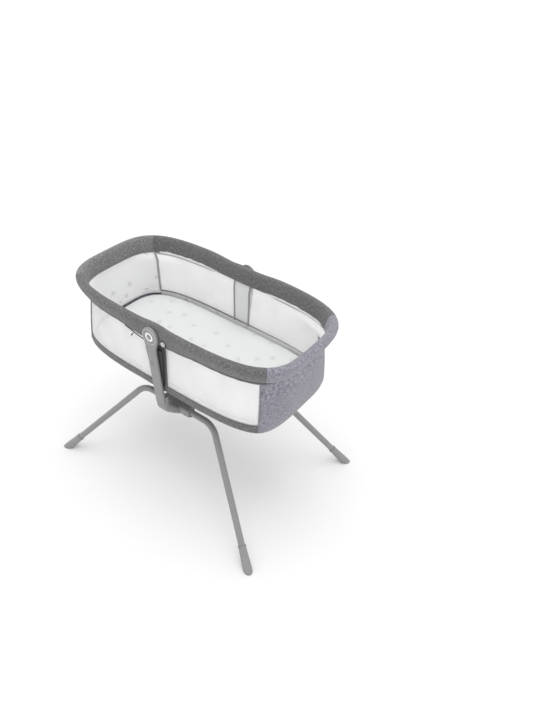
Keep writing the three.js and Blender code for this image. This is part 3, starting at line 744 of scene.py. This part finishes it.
def wall_cloth(name, s0, s1, profile, nu, slot, cloth, nodes=(), pucker=0.0, inward=False, bow=0.0):
    """A cloth that follows the wall between two runs; profile rows are [out, z] from top to bottom, one
    list for the whole cloth or one for each run.

    It bows by a product of sines between its edges, and the puckers along its top edge fade over 16 mm.
    """
    s = np.linspace(s0, s1, nu)[:, None]
    profile = np.atleast_3d(np.array(profile, float).T).T
    out, z = profile[..., 0], profile[..., 1]
    across = np.sin(math.pi * (s - s0) / (s1 - s0))
    down = np.linspace(0, 1, profile.shape[1])[None]
    out = out + bow * across * np.sin(math.pi * np.clip(down * 1.15, 0, 1))
    fade = np.exp(-(z[:, :1] - z) / 0.016)
    out = out + pucker * ripple(s, 0.028, 0.9) * fade
    out = out + 0.0006 * ripple(s, 0.17, 2.2) * np.sin(math.pi * down)
    lengths = np.concatenate([[0], np.cumsum(np.linalg.norm(np.diff(profile[0], axis=0), axis=1))])
    piece = surface(name, wall(s, z, out), flip=not inward, uv=(s[:, 0] - s0, lengths[::-1].copy()))
    return place(piece, "basket", slot, finish(cloth), *nodes)


TURN = 0.013
LAP = 0.012


def under_turn(out, z_top, z_low, rows, radius=TURN, tall=TURN):
    """Rows down a wall, then a quarter ellipse inwards and a short lap under the floor."""
    straight = [[out, z] for z in np.linspace(z_top, z_low + tall, rows)]
    turn = np.linspace(0, math.pi / 2, 12)[1:]
    arc = [[out - radius * (1 - math.cos(t)), z_low + tall * (1 - math.sin(t))] for t in turn]
    return straight + arc + [[out - radius - LAP, z_low]]


END_TURN, END_TURN_TALL = 0.018, 0.060
COVER_OUT, LINING_OUT, PIPING_OUT = 0.0020, -0.0022, -0.0040
LINING_THICK = 0.0010


def end_rows(nu):
    """Outer profiles of an end panel: out from under the rim, down, and in under the floor in a turn that
    is widest in the middle of the end."""
    top = [[0.0052, RIM_LOW_Z + 0.005], [0.0046, RIM_LOW_Z + 0.002], [0.0034, RIM_LOW_Z - 0.003]]
    profiles = []
    for share in np.linspace(0, 1, nu):
        wide = float(smoothstep(math.sin(math.pi * share), 0.0, 0.6))
        turn = TURN + (END_TURN - TURN) * wide, TURN + (END_TURN_TALL - TURN) * wide
        profiles.append(top + under_turn(COVER_OUT, RIM_LOW_Z - 0.010, FLOOR_Z, 26, *turn))
    return profiles


def make_end_panels():
    inner = [[LINING_OUT, z] for z in np.linspace(CLOTH_TOP_Z, BAND_TOP_Z + 0.020, 12)]
    inner += [[-0.0030, BAND_TOP_Z + 0.010], [-0.0046, BAND_TOP_Z + 0.002], [-0.0062, BAND_TOP_Z - 0.003]]
    for end, start in ENDS:
        s0, s1 = start + SEAM_RUN, start + HALF_ROUND - SEAM_RUN
        panel = wall_cloth(f"{end}_end_panel_cover", s0, s1, end_rows(160), 160, "lilac_melange", "panel",
                           (f"{end}_end_panel",), pucker=0.0011, bow=0.001)
        thicken(panel, sizes().cloth)
        lining = wall_cloth(f"{end}_end_lining", s0, s1, inner, 120, "white_cloth", "lining", inward=True,
                            bow=-0.002)
        thicken(lining, LINING_THICK)


def make_windows():
    sill = BAND_TOP_Z - 0.003
    rows = [[0.0, z] for z in np.linspace(CLOTH_TOP_Z, sill, 14)]
    for (face, middle), footward in zip(FACES, (1, -1)):
        for end, way in (("foot", footward), ("head", -footward)):
            near, far = middle + way * (COLUMN_HALF - 0.004), middle + way * SEAM_RUN
            s0, s1 = min(near, far), max(near, far)
            net = wall_cloth(f"{face}_{end}_mesh_window", s0, s1, rows, 90, "white_mesh", "mesh",
                             (f"{face}_{end}_window",), bow=-0.003)
            thicken(net, 0.0006, 0)


def make_bands():
    rows = under_turn(COVER_OUT, BAND_TOP_Z + 0.001, FLOOR_Z, 6)
    inner = [[LINING_OUT, BAND_TOP_Z + 0.012], [-0.0026, BAND_TOP_Z + 0.006], [-0.0036, BAND_TOP_Z],
             [-0.0044, BAND_TOP_Z - 0.006], [-0.0044, BAND_TOP_Z - 0.020]]
    for face, middle in FACES:
        s0, s1 = middle - SEAM_RUN, middle + SEAM_RUN
        band = wall_cloth(f"{face}_band_cover", s0, s1, rows, 220, "dark_melange", "rim",
                          (f"{face}_bottom_band",), pucker=0.0004)
        thicken(band, sizes().cloth)
        lining = wall_cloth(f"{face}_band_lining", s0, s1, inner, 160, "white_cloth", "lining", inward=True)
        thicken(lining, LINING_THICK)


def make_columns():
    outer_rows = [[0.0022, z] for z in np.linspace(CLOTH_TOP_Z, BAND_TOP_Z - 0.006, 16)]
    inner_rows = [[-0.0024, z] for z in np.linspace(CLOTH_TOP_Z, BAND_TOP_Z + 0.006, 16)]
    z = np.linspace(RIM_LOW_Z + 0.002, BAND_TOP_Z + 0.008, 24)
    for face, middle in FACES:
        s0, s1 = middle - COLUMN_HALF, middle + COLUMN_HALF
        outer = wall_cloth(f"{face}_column_cover", s0, s1, outer_rows, 24, "dark_melange", "rim",
                           (f"{face}_column",))
        thicken(outer, sizes().cloth)
        tape = wall_cloth(f"{face}_column_tape", s0, s1, inner_rows, 24, "white_cloth", "ribs", inward=True)
        thicken(tape, LINING_THICK)
        for side, run in (("left", s0), ("right", s1)):
            pipe = cord_tube(f"{face}_column_piping_{side}", wall(run, z, PIPING_OUT), sizes().piping)
            place(pipe, "basket", "dark_melange", finish("piping"))


def mattress_line(s, out):
    """A level line round the wall at the height of the mattress's top."""
    level = wall(s, BAND_TOP_Z + 0.012, out)
    level[:, 2] = MATTRESS_SEAM_Z
    return level


def make_piping():
    """Cords sewn into the corner seams, inside and outside, and round the wall at the mattress.

    The side cords at the mattress thin out towards the foot end, where the pad covers more of them, and
    the inner cords of the foot end stop 30 mm under the rim."""
    z_out = np.linspace(RIM_LOW_Z - 0.001, FLOOR_Z + 0.012, 36)
    corners = {"front_foot": SEAM_RUN, "rear_foot": HALF_ROUND - SEAM_RUN,
               "rear_head": HALF_ROUND + SEAM_RUN, "front_head": ROUND - SEAM_RUN}
    for name, run in corners.items():
        top = RIM_LOW_Z + (0.002 if "head" in name else -0.030)
        z = np.linspace(top, BAND_TOP_Z + 0.010, 28)
        inner = cord_tube(f"{name}_seam_piping", wall(run, z, PIPING_OUT), sizes().piping * 1.3)
        place(inner, "basket", "dark_melange", finish("piping"))
        outer = cord_tube(f"{name}_seam_cord", wall(run, z_out, 0.0030), 0.0014)
        place(outer, "basket", "dark_melange", finish("panel"))
    for face, middle in FACES:
        level = mattress_line(np.linspace(middle - SEAM_RUN, middle + SEAM_RUN, 240), -0.0042)
        radius = 0.0027 - 0.0016 * smoothstep(level[:, 0], -0.15, 0.30)
        pipe = cord_tube(f"{face}_mattress_piping", level, radius)
        place(pipe, "basket", "dark_melange", finish("line"))
    for end, start in ENDS:
        s = np.linspace(start + SEAM_RUN, start + HALF_ROUND - SEAM_RUN, 160)
        pipe = cord_tube(f"{end}_mattress_seam", mattress_line(s, PIPING_OUT), 0.0011)
        place(pipe, "basket", "white_cloth", finish("ribs"))


FLOOR_INSET, PLAN_SIDES = 0.0125, 240


def plan_ring(inset):
    """The floor outline moved in by inset."""
    inner = outline(circle_angles(PLAN_SIDES), FLOOR_A - inset, FLOOR_B - inset, FLOOR_POWER)
    return np.stack(inner[:2], -1)


def rise_at(x):
    return END_RISE * (x / FLOOR_A) ** 4


def make_floor():
    """Floor cloth: nested plan rings, flat with a rounded edge, closed over and under."""
    scales = (0.02, 0.35, 0.7, 0.95, 1.0)
    heights = (0.0, 0.0, 0.0, 0.0, 0.0010)
    top_heights = (0.0020, 0.0028, 0.0028, 0.0028, 0.0028)
    rows = []
    for scale, up in zip(scales + scales[::-1], heights + top_heights):
        ring = plan_ring(FLOOR_INSET) * scale
        z = FLOOR_Z + 0.0008 + up + rise_at(ring[:, 0])
        rows.append(np.concatenate([ring, z[:, None]], 1))
    floor = surface("floor_cover", np.array(rows), around=True, capped=True)
    place(floor, "basket", "dark_melange", finish("rim"), "floor_fabric")


PAD_A, PAD_B, PAD_POWER = 0.3955, 0.1975, 4.3
PAD_EDGE = 0.006
PAD_SHRINK, PAD_GROWTH, PAD_CROWN = 0.004, 0.0045, 0.004


def pad_grid(shrink):
    """Nested plan rings of the pad: flat under, a rounded edge, and a top that is crowned by 4 mm."""
    low, top = FLOOR_Z + 0.0105 + shrink / 2, MATTRESS_TOP_Z - shrink
    a, b = PAD_A - shrink, PAD_B - shrink
    x, y, nx, ny = outline(circle_angles(PLAN_SIDES), a, b, PAD_POWER)
    half = (top - low) / 2
    rows = []
    for scale in (0.02, 0.3, 0.6, 0.85):
        rows.append(np.stack([x * scale, y * scale, low + rise_at(x * scale)], -1))
    for turn in np.linspace(-math.pi / 2, math.pi / 2, 13):
        inset = PAD_EDGE * (1 - math.cos(turn))
        under = rise_at(x) * (1 - math.sin(turn)) / 2
        height = low + half * (1 + math.sin(turn)) + under
        rows.append(np.stack([x - nx * inset, y - ny * inset, height], -1))
    for scale in (0.93, 0.88, 0.8, 0.7, 0.6, 0.5, 0.4, 0.3, 0.2, 0.1, 0.02):
        crown = PAD_CROWN * (1 - scale**4)
        rows.append(np.stack([x * scale, y * scale, np.full(PLAN_SIDES, top + crown)], -1))
    return np.array(rows)


def make_mattress():
    """The pad is filled cloth: it starts 4 mm small all round and is blown up to size."""
    pad = surface("mattress_pad", pad_grid(PAD_SHRINK), around=True, capped=True)
    puff(pad, cap=PAD_GROWTH)
    soften_top(pad)
    plan_map(pad)
    place(pad, "mattress", "white_cloth", finish("pad"), "mattress")


def soften_top(pad):
    """Shallow hollows and folds in the mattress top: two crossing waves that fade out at its edge."""
    points = read_points(pad.data)
    x, y, z = points.T
    top = smoothstep(z, MATTRESS_TOP_Z - 0.004, MATTRESS_TOP_Z)
    z += top * 0.0012 * (ripple(x + 0.4 * y, 0.16, 0.3) + ripple(y - 0.3 * x, 0.12, 1.9))
    pad.data.vertices.foreach_set("co", points.ravel())


def plan_map(piece):
    """The cloth map from above: x and y in metres, with the height added at the sides."""
    loops = np.empty(len(piece.data.loops), np.int32)
    piece.data.loops.foreach_get("vertex_index", loops)
    co = read_points(piece.data)[loops]
    layer = piece.data.uv_layers.get(CLOTH_UV) or piece.data.uv_layers.new(name=CLOTH_UV)
    layer.data.foreach_set("uv", (co[:, :2] + co[:, 2:]).astype(np.float32).ravel())


ZIP_HALF, ZIP_RUN = 0.0085, (-0.135, -0.036)


def make_zip_pull():
    """A tab that hangs at a slant, and the run of teeth above it under the rim's outer edge."""
    low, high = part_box("zip_pull")
    centre = np.array((low + high) / 2)
    lean = 0.6
    down = np.array([-math.sin(lean), 0, -math.cos(lean)])
    share = np.linspace(0, 1, 12)
    path = centre + down * ZIP_HALF * np.linspace(-1, 1, 12)[:, None]
    wide = 0.0016 + 0.0008 * smoothstep(share, 0.3, 0.9)
    section = np.stack([superellipse(w, 0.0007, 4, 16) for w in wide])
    side, up = frames(path, np.cross(down, [0, 1.0, 0]))
    pull = surface("zip_tab", carried(path, side, up, section), around=True, capped=True)
    place(pull, "zip_pull", "black_plastic", finish("black"), "zip_pull")
    s = np.linspace(*ZIP_RUN, 60)
    teeth = cord_tube("front_zip_teeth", rim_point(s, 0.0084, -0.0372 - 0.002 * lean_share(s)), 0.0016)
    place(teeth, "basket", "black_plastic", finish("black"))


# ---------------------------------------------------------------- stand

POST_FACE, POST_BACK, POST_CROWN = 0.235, 0.226, 0.0007
POST_BOTTOM_Z, POST_BEND_Z, POST_LEAN = 0.412, 0.668, 0.08
HEAD_R, NECK_HALF = 0.030, 0.0185
MARK_HEIGHTS = (0.600, 0.589)
SLEEVE_Y, SLEEVE_Z = 0.136, 0.356
LEG_START_X, LEG_CORNER_X, LEG_BEND_R = 0.012, 0.154, 0.073
FOOT_X, FOOT_Y, TUBE_SHORT = 0.436, 0.301, 0.022
SNAP_X = 0.066
BOOT_LONG, BOOT_BASE, BOOT_FLARE = 0.084, 0.0012, 0.0003
BEAM_HALF_LONG, BEAM_HALF_WIDE, BEAM_HALF_TALL = 0.1115, 0.0198, 0.0123
LOCK_CENTRE, EYELET_R = np.array([0.045, -0.214, 0.687]), 0.0106
HUB_LIP_R = 0.0255


def post_half(z):
    """Half width of the post: a neck that widens in a smooth step to the round head, rounded at its toe."""
    neck = NECK_HALF + (HEAD_R - NECK_HALF) * smoothstep(z, PIVOT_Z - 0.055, PIVOT_Z)
    toe = 0.72 + 0.28 * smoothstep(z, POST_BOTTOM_Z - 0.014, POST_BOTTOM_Z + 0.018)
    head = np.sqrt(np.maximum(HEAD_R**2 - np.maximum(z - PIVOT_Z, 0) ** 2, 0))
    return np.where(z > PIVOT_Z, head, neck * toe)


def post_lean(z):
    return POST_LEAN * np.maximum(POST_BEND_Z - z, 0)


def post_outline():
    """The post's closed side outline as x and z: up the right side, over the head and down the left."""
    straight = np.linspace(POST_BOTTOM_Z, PIVOT_Z, 40)
    turn = np.linspace(0, math.pi, 33)[1:-1]
    right = np.stack([post_half(straight), straight], -1)
    head = np.stack([HEAD_R * np.cos(turn), PIVOT_Z + HEAD_R * np.sin(turn)], -1)
    left = right[::-1] * [-1, 1]
    base = np.linspace(-1, 1, 12)[1:-1, None]
    foot = np.concatenate([base * post_half(POST_BOTTOM_Z), np.full_like(base, POST_BOTTOM_Z)], 1)
    return np.concatenate([right, head, left, foot])


def post_shell():
    """The post cover: its outline carried from the back to the face, with a quarter-round edge, and then
    drawn in to the middle line. The whole leans inwards in proportion to the depth below the bend."""
    outer = post_outline()
    way = np.roll(outer, -1, 0) - np.roll(outer, 1, 0)
    normal = np.stack([way[:, 1], -way[:, 0]], -1) / np.linalg.norm(way, axis=1, keepdims=True)
    spine = np.stack([np.zeros(len(outer)), np.clip(outer[:, 1], POST_BOTTOM_Z + 0.016, PIVOT_Z)], -1)
    edge = sizes().edge
    hollow = POST_BACK + 0.0006
    rows = [(edge, hollow, 1.0), (edge, hollow, 0.5), (0.004, hollow, 0.0), (0.0015, POST_BACK, 0.0),
            (0.0, POST_BACK, 0.0), (0.0, POST_FACE - edge, 0.0)]
    for t in np.linspace(0, math.pi / 2, 6)[1:]:
        rows.append((edge * (1 - math.cos(t)), POST_FACE - edge + edge * math.sin(t), 0.0))
    for pull in (0.25, 0.5, 0.75, 1.0):
        rows.append((edge, POST_FACE + POST_CROWN * math.sin(pull * math.pi / 2), pull))
    grid = []
    for inset, depth, pull in rows:
        flat = (outer - normal * inset) * (1 - pull) + spine * pull
        grid.append(np.stack([flat[:, 0], -(depth - post_lean(flat[:, 1])), flat[:, 1]], -1))
    return merge_close(surface("front_post_shell", np.array(grid), around=True, sealed=True), 2e-5)


def arm_shell():
    """The arm under the basket: a soft rectangle carried from the post's foot round to the sleeve."""
    knots = np.array([[0.2000, 0.4470], [0.2005, 0.4300], [0.2030, 0.4130], [0.2010, 0.4000],
                      [0.1900, 0.3860], [0.1740, 0.3720], [0.1580, 0.3580], [0.1450, 0.3480]])
    t = np.linspace(0, 1, len(knots))
    fine = np.linspace(0, 1, 40)
    deep = np.interp(fine, t, knots[:, 0])
    high = np.interp(fine, t, knots[:, 1])
    for _ in range(3):
        deep[1:-1] = (deep[:-2] + 2 * deep[1:-1] + deep[2:]) / 4
        high[1:-1] = (high[:-2] + 2 * high[1:-1] + high[2:]) / 4
    path = np.stack([0 * deep, -deep, high], -1)
    half_thick = np.interp(fine, [0, 0.2, 0.35, 0.6, 1], [0.0068, 0.0075, 0.0120, 0.0125, 0.0125])
    half_wide = np.interp(fine, [0, 0.35, 1], [0.0185, 0.0195, 0.0235])
    section = np.stack([superellipse(w, h, 4.5, 40) for w, h in zip(half_wide, half_thick)])
    side, up = frames(path, [1.0, 0, 0])
    return surface("front_leg_arm", carried(path, side, up, section), around=True, capped=True)


def sleeve_shell():
    """The sleeve: a flat-sided box with soft corners carried along X, with a collar at each mouth and an
    open bore."""
    rows = [(0.010, 0.0112, 0.0112, 2.0), (0.0605, 0.0112, 0.0112, 2.0), (0.0612, 0.0118, 0.0118, 2.0)]
    outer = [(0.0612, 0.0148), (0.0604, 0.0160), (0.0590, 0.0164), (0.0500, 0.0164), (0.0490, 0.0160),
             (0.0486, 0.0150), (0.0476, 0.0150), (0.0472, 0.0162), (0.0462, 0.0166), (0.0300, 0.0170),
             (0.0, 0.0174)]
    rows += [(x, h, h - 0.001, 5.0) for x, h in outer]
    rows += [(-x, w, h, p) for x, w, h, p in rows[::-1][1:]]
    path = np.array([[x, -SLEEVE_Y, SLEEVE_Z] for x, *_ in rows])
    section = np.stack([superellipse(w, h, p, 48) for _, w, h, p in rows])
    grid = carried(path, *level_frames(path, [0, 1, 0]), section)
    return surface("front_leg_sleeve", grid, around=True, capped=True)


def boss_shell():
    """The inner boss that takes the cross beam: a soft rectangle carried along Y."""
    rows = [(-0.120, 0.9), (-0.119, 1.0), (-0.098, 1.0), (-0.096, 0.96), (-0.0955, 0.90)]
    path = np.array([[0, y, SLEEVE_Z] for y, _ in rows])
    section = np.stack([superellipse(0.0235 * k, 0.0172 * k, 5, 40) for _, k in rows])
    grid = carried(path, *level_frames(path, [1, 0, 0]), section)
    return surface("front_beam_boss", grid, around=True, capped=True)


def make_posts():
    housing = ((post_shell(), "front_post_cover"), (arm_shell(), "front_leg_housing"), (sleeve_shell(),),
               (boss_shell(),))
    for piece, *nodes in housing:
        place_both(piece, "stand", "grey_plastic", finish("plastic"), *nodes)
    for index, z in enumerate(MARK_HEIGHTS):
        y = -(POST_FACE + 0.0004 - post_lean(z))
        path = np.stack([np.linspace(-0.009, 0.003, 10), np.full(10, y), z - np.linspace(0, 0.003, 10)], -1)
        rib = cord_tube(f"front_post_rib_{index}", path, 0.0010, 8)
        place_both(rib, "stand", "grey_plastic", finish("mark"))


def make_badges():
    middle = np.array([0, -(POST_FACE - 0.0014), PIVOT_Z])
    ring = upright_ring(64)
    rim = np.array([[0.0088, 0.0], [0.0150, 0.0], [0.0150, 0.0016], [0.0146, 0.0022], [0.0138, 0.0026],
                    [0.0100, 0.0026], [0.0092, 0.0022], [0.0088, 0.0014]])
    dish = [[0.0001, 0.0], [0.0084, 0.0], [0.0084, 0.0016], [0.0078, 0.0022], [0.0060, 0.0022],
            [0.0054, 0.0016], [0.0001, 0.0015]]
    grid = middle + ring[None] * rim[:, None, :1] + np.array([0, -1.0, 0]) * rim[:, None, 1:]
    badge = surface("front_hub_ring", grid, around=True, along=True)
    disc = turned("front_hub_disc", dish, middle, [0, -1, 0])
    lip = cord_tube("front_hub_lip", middle + [0, -0.0018, 0] + ring * HUB_LIP_R, 0.0011, closed=True)
    place_both(badge, "stand", "pale_plastic", finish("pale"), "front_badge_ring")
    place_both(disc, "stand", "grey_plastic", finish("plastic"), "front_badge_disc")
    place_both(lip, "stand", "grey_plastic", finish("button"))


def make_lock_buttons():
    profile = [[0.0001, 0.0078], [0.0086, 0.0078], [0.0090, 0.0115], [0.0084, 0.0128], [0.0070, 0.0134],
               [0.0066, 0.0130], [0.0030, 0.0126], [0.0001, 0.0125]]
    button = turned("front_lock_cap", profile, LOCK_CENTRE, [0, -1, 0])
    ring = LOCK_CENTRE + [0, -0.0105, 0] + EYELET_R * upright_ring(40)
    eyelet = cord_tube("front_lock_eyelet", ring, 0.0015, closed=True)
    place_both(eyelet, "basket", "dark_melange", finish("black"))
    place_both(button, "front_lock_button", "pale_plastic", finish("button"), "front_lock_button")


def leg_path(side_x, side_y):
    """Out of the sleeve along X, round one arc and straight down to the foot."""
    start = np.array([side_x, 0.0, 0.0])
    corner = np.array([side_x * LEG_CORNER_X, side_y * SLEEVE_Y, SLEEVE_Z])
    foot = np.array([side_x * FOOT_X, side_y * FOOT_Y, 0.0])
    down = (foot - corner) / np.linalg.norm(foot - corner)
    turn = math.acos(float(start @ down))
    reach = LEG_BEND_R * math.tan(turn / 2)
    across = down - start * float(start @ down)
    across /= np.linalg.norm(across)
    first = corner - start * reach
    angle = np.linspace(0, turn, 16)[:, None]
    bend = first + LEG_BEND_R * (np.sin(angle) * start + (1 - np.cos(angle)) * across)
    inner = np.array([side_x * LEG_START_X, side_y * SLEEVE_Y, SLEEVE_Z])
    straight = bend[-1] + (foot - down * TUBE_SHORT - bend[-1]) * np.linspace(0, 1, 12)[1:, None]
    path = np.concatenate([inner + (first - inner) * np.linspace(0, 1, 6)[:-1, None], bend, straight])
    return path, np.cross(start, across), down, foot


def make_legs():
    section = superellipse(sizes().leg_radius, sizes().leg_radius, 2, 36)
    snap = [[0.0001, 0.0082], [0.0034, 0.0082], [0.0034, 0.0125], [0.0028, 0.0136], [0.0014, 0.0142],
            [0.0001, 0.0143]]
    for end, side_x in (("head", -1), ("foot", 1)):
        for face, side_y in (("front", -1), ("rear", 1)):
            name = f"{face}_{end}"
            path, normal, down, foot = leg_path(side_x, side_y)
            side, up = frames(path, normal)
            tube = surface(f"{name}_leg_tube", carried(path, side, up, section), around=True, capped=True)
            place(tube, f"{name}_leg", "painted_steel", finish("paint"), f"{name}_leg")
            boot = foot_boot(f"{name}_foot_boot", down, foot, normal)
            place(boot, f"{name}_leg", "grey_plastic", finish("plastic"), f"{name}_foot_cap")
            way = np.array([0, side_y, -1.0]) / math.sqrt(2)
            centre = np.array([side_x * SNAP_X, side_y * SLEEVE_Y, SLEEVE_Z])
            button = turned(f"{name}_snap_cap", snap, centre, way, 24)
            place(button, f"{name}_button", "black_plastic", finish("black"), f"{name}_snap_button")


def foot_boot(name, down, foot, normal):
    """A round boot along the leg, cut level at the floor: each line of its side runs from the collar down
    until it meets the floor, and its radius grows towards the foot with a step at the collar."""
    t = circle_angles(48)
    side = np.asarray(normal) / np.linalg.norm(normal)
    up = np.cross(down, side)
    ring = side * np.cos(t)[:, None] + up * np.sin(t)[:, None]
    stations = [(0.0, 0.0113), (0.0, 0.0130), (0.0012, 0.0138), (0.0060, 0.0138), (0.0075, 0.0131),
                (0.0100, 0.0129), (0.030, 0.0134), (0.050, 0.0142), (0.066, 0.0148)]
    top = foot - down * BOOT_LONG
    grid = [top + down * along + ring * radius for along, radius in stations]
    last = grid[-1]
    to_floor = (last[:, 2:] - BOOT_BASE) / -down[2]
    edge = last + down * to_floor + ring * BOOT_FLARE
    middle = edge.mean(0)
    base = middle + (edge - middle) * 0.97
    base[:, 2] = 0.0
    grid += [last + down * to_floor * 0.6 + ring * BOOT_FLARE, edge, base]
    return surface(name, np.array(grid), around=True, capped=True)


def make_beam():
    rows = np.linspace(-BEAM_HALF_LONG, BEAM_HALF_LONG, 9)
    path = np.stack([0 * rows, rows, 0 * rows + SLEEVE_Z], -1)
    section = superellipse(BEAM_HALF_WIDE, BEAM_HALF_TALL, 7, 48)
    grid = carried(path, *level_frames(path, [1, 0, 0]), section)
    beam = surface("beam_tube", grid, around=True, capped=True)
    place(beam, "stand", "bare_steel", finish("steel"), "cross_beam")


def dress_cad_nodes():
    """Pieces whose worked shape is already right keep it and get a finish."""
    by_slot = {"bare_steel": "steel", "black_plastic": "black", "grey_plastic": "plastic",
               "painted_steel": "paint", "pale_plastic": "pale", "dark_melange": "rim",
               "lilac_melange": "panel", "white_mesh": "lining", "white_cloth": "lining",
               "board_grey": "board"}
    slots = {part["node"]: part["material_slot"] for part in frame["record"]["subparts"]}
    for node, piece in frame["nodes"].items():
        for number in range(len(piece.material_slots)):
            piece.material_slots[number].material = finish(by_slot[slots[node]])


# ---------------------------------------------------------------- stage

CAMERA_TARGET = Vector((0.2701, 0.0, 0.6045))
CAMERA_AZIMUTH, CAMERA_ELEVATION = math.radians(34.69), math.radians(39.21)
CAMERA_ROLL = math.radians(3.10)
CAMERA_DISTANCE, CAMERA_LENS = 1.9513, 31.95


def make_camera():
    a, e = CAMERA_AZIMUTH, CAMERA_ELEVATION
    back = Vector((math.sin(a) * math.cos(e), -math.cos(a) * math.cos(e), math.sin(e)))
    right = Vector((math.cos(a), math.sin(a), 0))
    up = back.cross(right)
    c, s = math.cos(CAMERA_ROLL), math.sin(CAMERA_ROLL)
    axes = Matrix((right * c + up * s, up * c - right * s, back)).transposed()
    data = bpy.data.cameras.new("camera")
    data.sensor_width = 36
    data.lens = CAMERA_LENS
    camera = add_object("camera", data)
    camera.matrix_world = Matrix.Translation(CAMERA_TARGET + back * CAMERA_DISTANCE) @ axes.to_4x4()
    bpy.context.scene.camera = camera


def add_light(name, kind, place_at, aim, energy, spread):
    """A lamp aimed at a point; spread is an area's width in metres or a sun's angle."""
    data = bpy.data.lights.new(name, kind)
    data.energy = energy
    if kind == "SUN":
        data.angle = spread
    else:
        data.size = spread
    light = add_object(name, data)
    light.location = place_at
    light.rotation_euler = (Vector(aim) - Vector(place_at)).to_track_quat("-Z", "Y").to_euler()


FLOOR_HALF = 40.0
FLOOR_GAP = 0.0006


def make_stage():
    """White surroundings, a broad overhead sun for the soft shadow and a weak key from the right."""
    scene = bpy.context.scene
    scene.view_settings.view_transform = "Standard"
    world = bpy.data.worlds.new("studio")
    world.use_nodes = True
    world.node_tree.nodes["Background"].inputs[0].default_value = (1, 1, 1, 1)
    world.node_tree.nodes["Background"].inputs[1].default_value = 1.0
    scene.world = world
    corners = np.array([[-1, -1, 0], [1, -1, 0], [1, 1, 0], [-1, 1, 0]]) * FLOOR_HALF - [0, 0, FLOOR_GAP]
    floor = make_object("studio_floor", corners, [[0, 1, 2, 3]])
    floor.data.materials.append(studio_floor("studio_floor"))
    add_light("overhead", "SUN", (0, 0, 3), (0, 0.1, 0), 0.85, math.radians(45))
    add_light("key", "AREA", (1.8, -1.2, 2.2), (0, 0, 0.5), 4, 1.4)


# ---------------------------------------------------------------- operators, panel and registration


class BASSINET_OT_finishes(bpy.types.Operator):
    """Make every finish and dress the worked pieces that stay"""

    bl_idname = "bassinet.finishes"
    bl_label = "Finishes"

    def execute(self, context):
        make_finishes()
        dress_cad_nodes()
        return {"FINISHED"}


class BASSINET_OT_rim(bpy.types.Operator):
    """Make the padded rim and its hems"""

    bl_idname = "bassinet.rim"
    bl_label = "Rim"

    def execute(self, context):
        make_rim()
        make_hems()
        return {"FINISHED"}


class BASSINET_OT_walls(bpy.types.Operator):
    """Make the end panels, windows, bands, columns and piping"""

    bl_idname = "bassinet.walls"
    bl_label = "Walls"

    def execute(self, context):
        make_end_panels()
        make_windows()
        make_bands()
        make_columns()
        make_piping()
        return {"FINISHED"}


class BASSINET_OT_bed(bpy.types.Operator):
    """Make the floor cloth, the mattress and the zip pull"""

    bl_idname = "bassinet.bed"
    bl_label = "Bed"

    def execute(self, context):
        make_floor()
        make_mattress()
        make_zip_pull()
        return {"FINISHED"}


class BASSINET_OT_stand(bpy.types.Operator):
    """Make the posts, housings, badges, buttons, beam and legs"""

    bl_idname = "bassinet.stand"
    bl_label = "Stand"

    def execute(self, context):
        make_posts()
        make_badges()
        make_lock_buttons()
        make_beam()
        make_legs()
        return {"FINISHED"}


class BASSINET_OT_stage(bpy.types.Operator):
    """Make the floor, the lights and the camera"""

    bl_idname = "bassinet.stage"
    bl_label = "Stage"

    def execute(self, context):
        make_camera()
        make_stage()
        return {"FINISHED"}


OPERATORS = (BASSINET_OT_finishes, BASSINET_OT_rim, BASSINET_OT_walls, BASSINET_OT_bed, BASSINET_OT_stand,
             BASSINET_OT_stage)


class BASSINET_PT_panel(bpy.types.Panel):
    """Lists the steps and the settings"""

    bl_idname = "BASSINET_PT_panel"
    bl_label = "Bassinet"
    bl_space_type = "VIEW_3D"
    bl_region_type = "UI"
    bl_category = "Bassinet"

    def draw(self, context):
        for settings in (context.scene.bassinet_sizes, context.scene.bassinet_colours):
            for name in settings.bl_rna.properties.keys():
                if name not in ("rna_type", "name"):
                    self.layout.prop(settings, name)
        for operator in OPERATORS:
            self.layout.operator(operator.bl_idname)


CLASSES = (BassinetSizes, BassinetColours, *OPERATORS, BASSINET_PT_panel)


def register():
    for cls in CLASSES:
        bpy.utils.register_class(cls)
    bpy.types.Scene.bassinet_sizes = PointerProperty(type=BassinetSizes)
    bpy.types.Scene.bassinet_colours = PointerProperty(type=BassinetColours)


def unregister():
    del bpy.types.Scene.bassinet_colours
    del bpy.types.Scene.bassinet_sizes
    for cls in reversed(CLASSES):
        bpy.utils.unregister_class(cls)


def main():
    register()
    bpy.ops.bassinet.finishes()
    bpy.ops.bassinet.rim()
    bpy.ops.bassinet.walls()
    bpy.ops.bassinet.bed()
    bpy.ops.bassinet.stand()
    bpy.ops.bassinet.stage()
    bpy.context.view_layer.update()


if __name__ == "__main__":
    main()
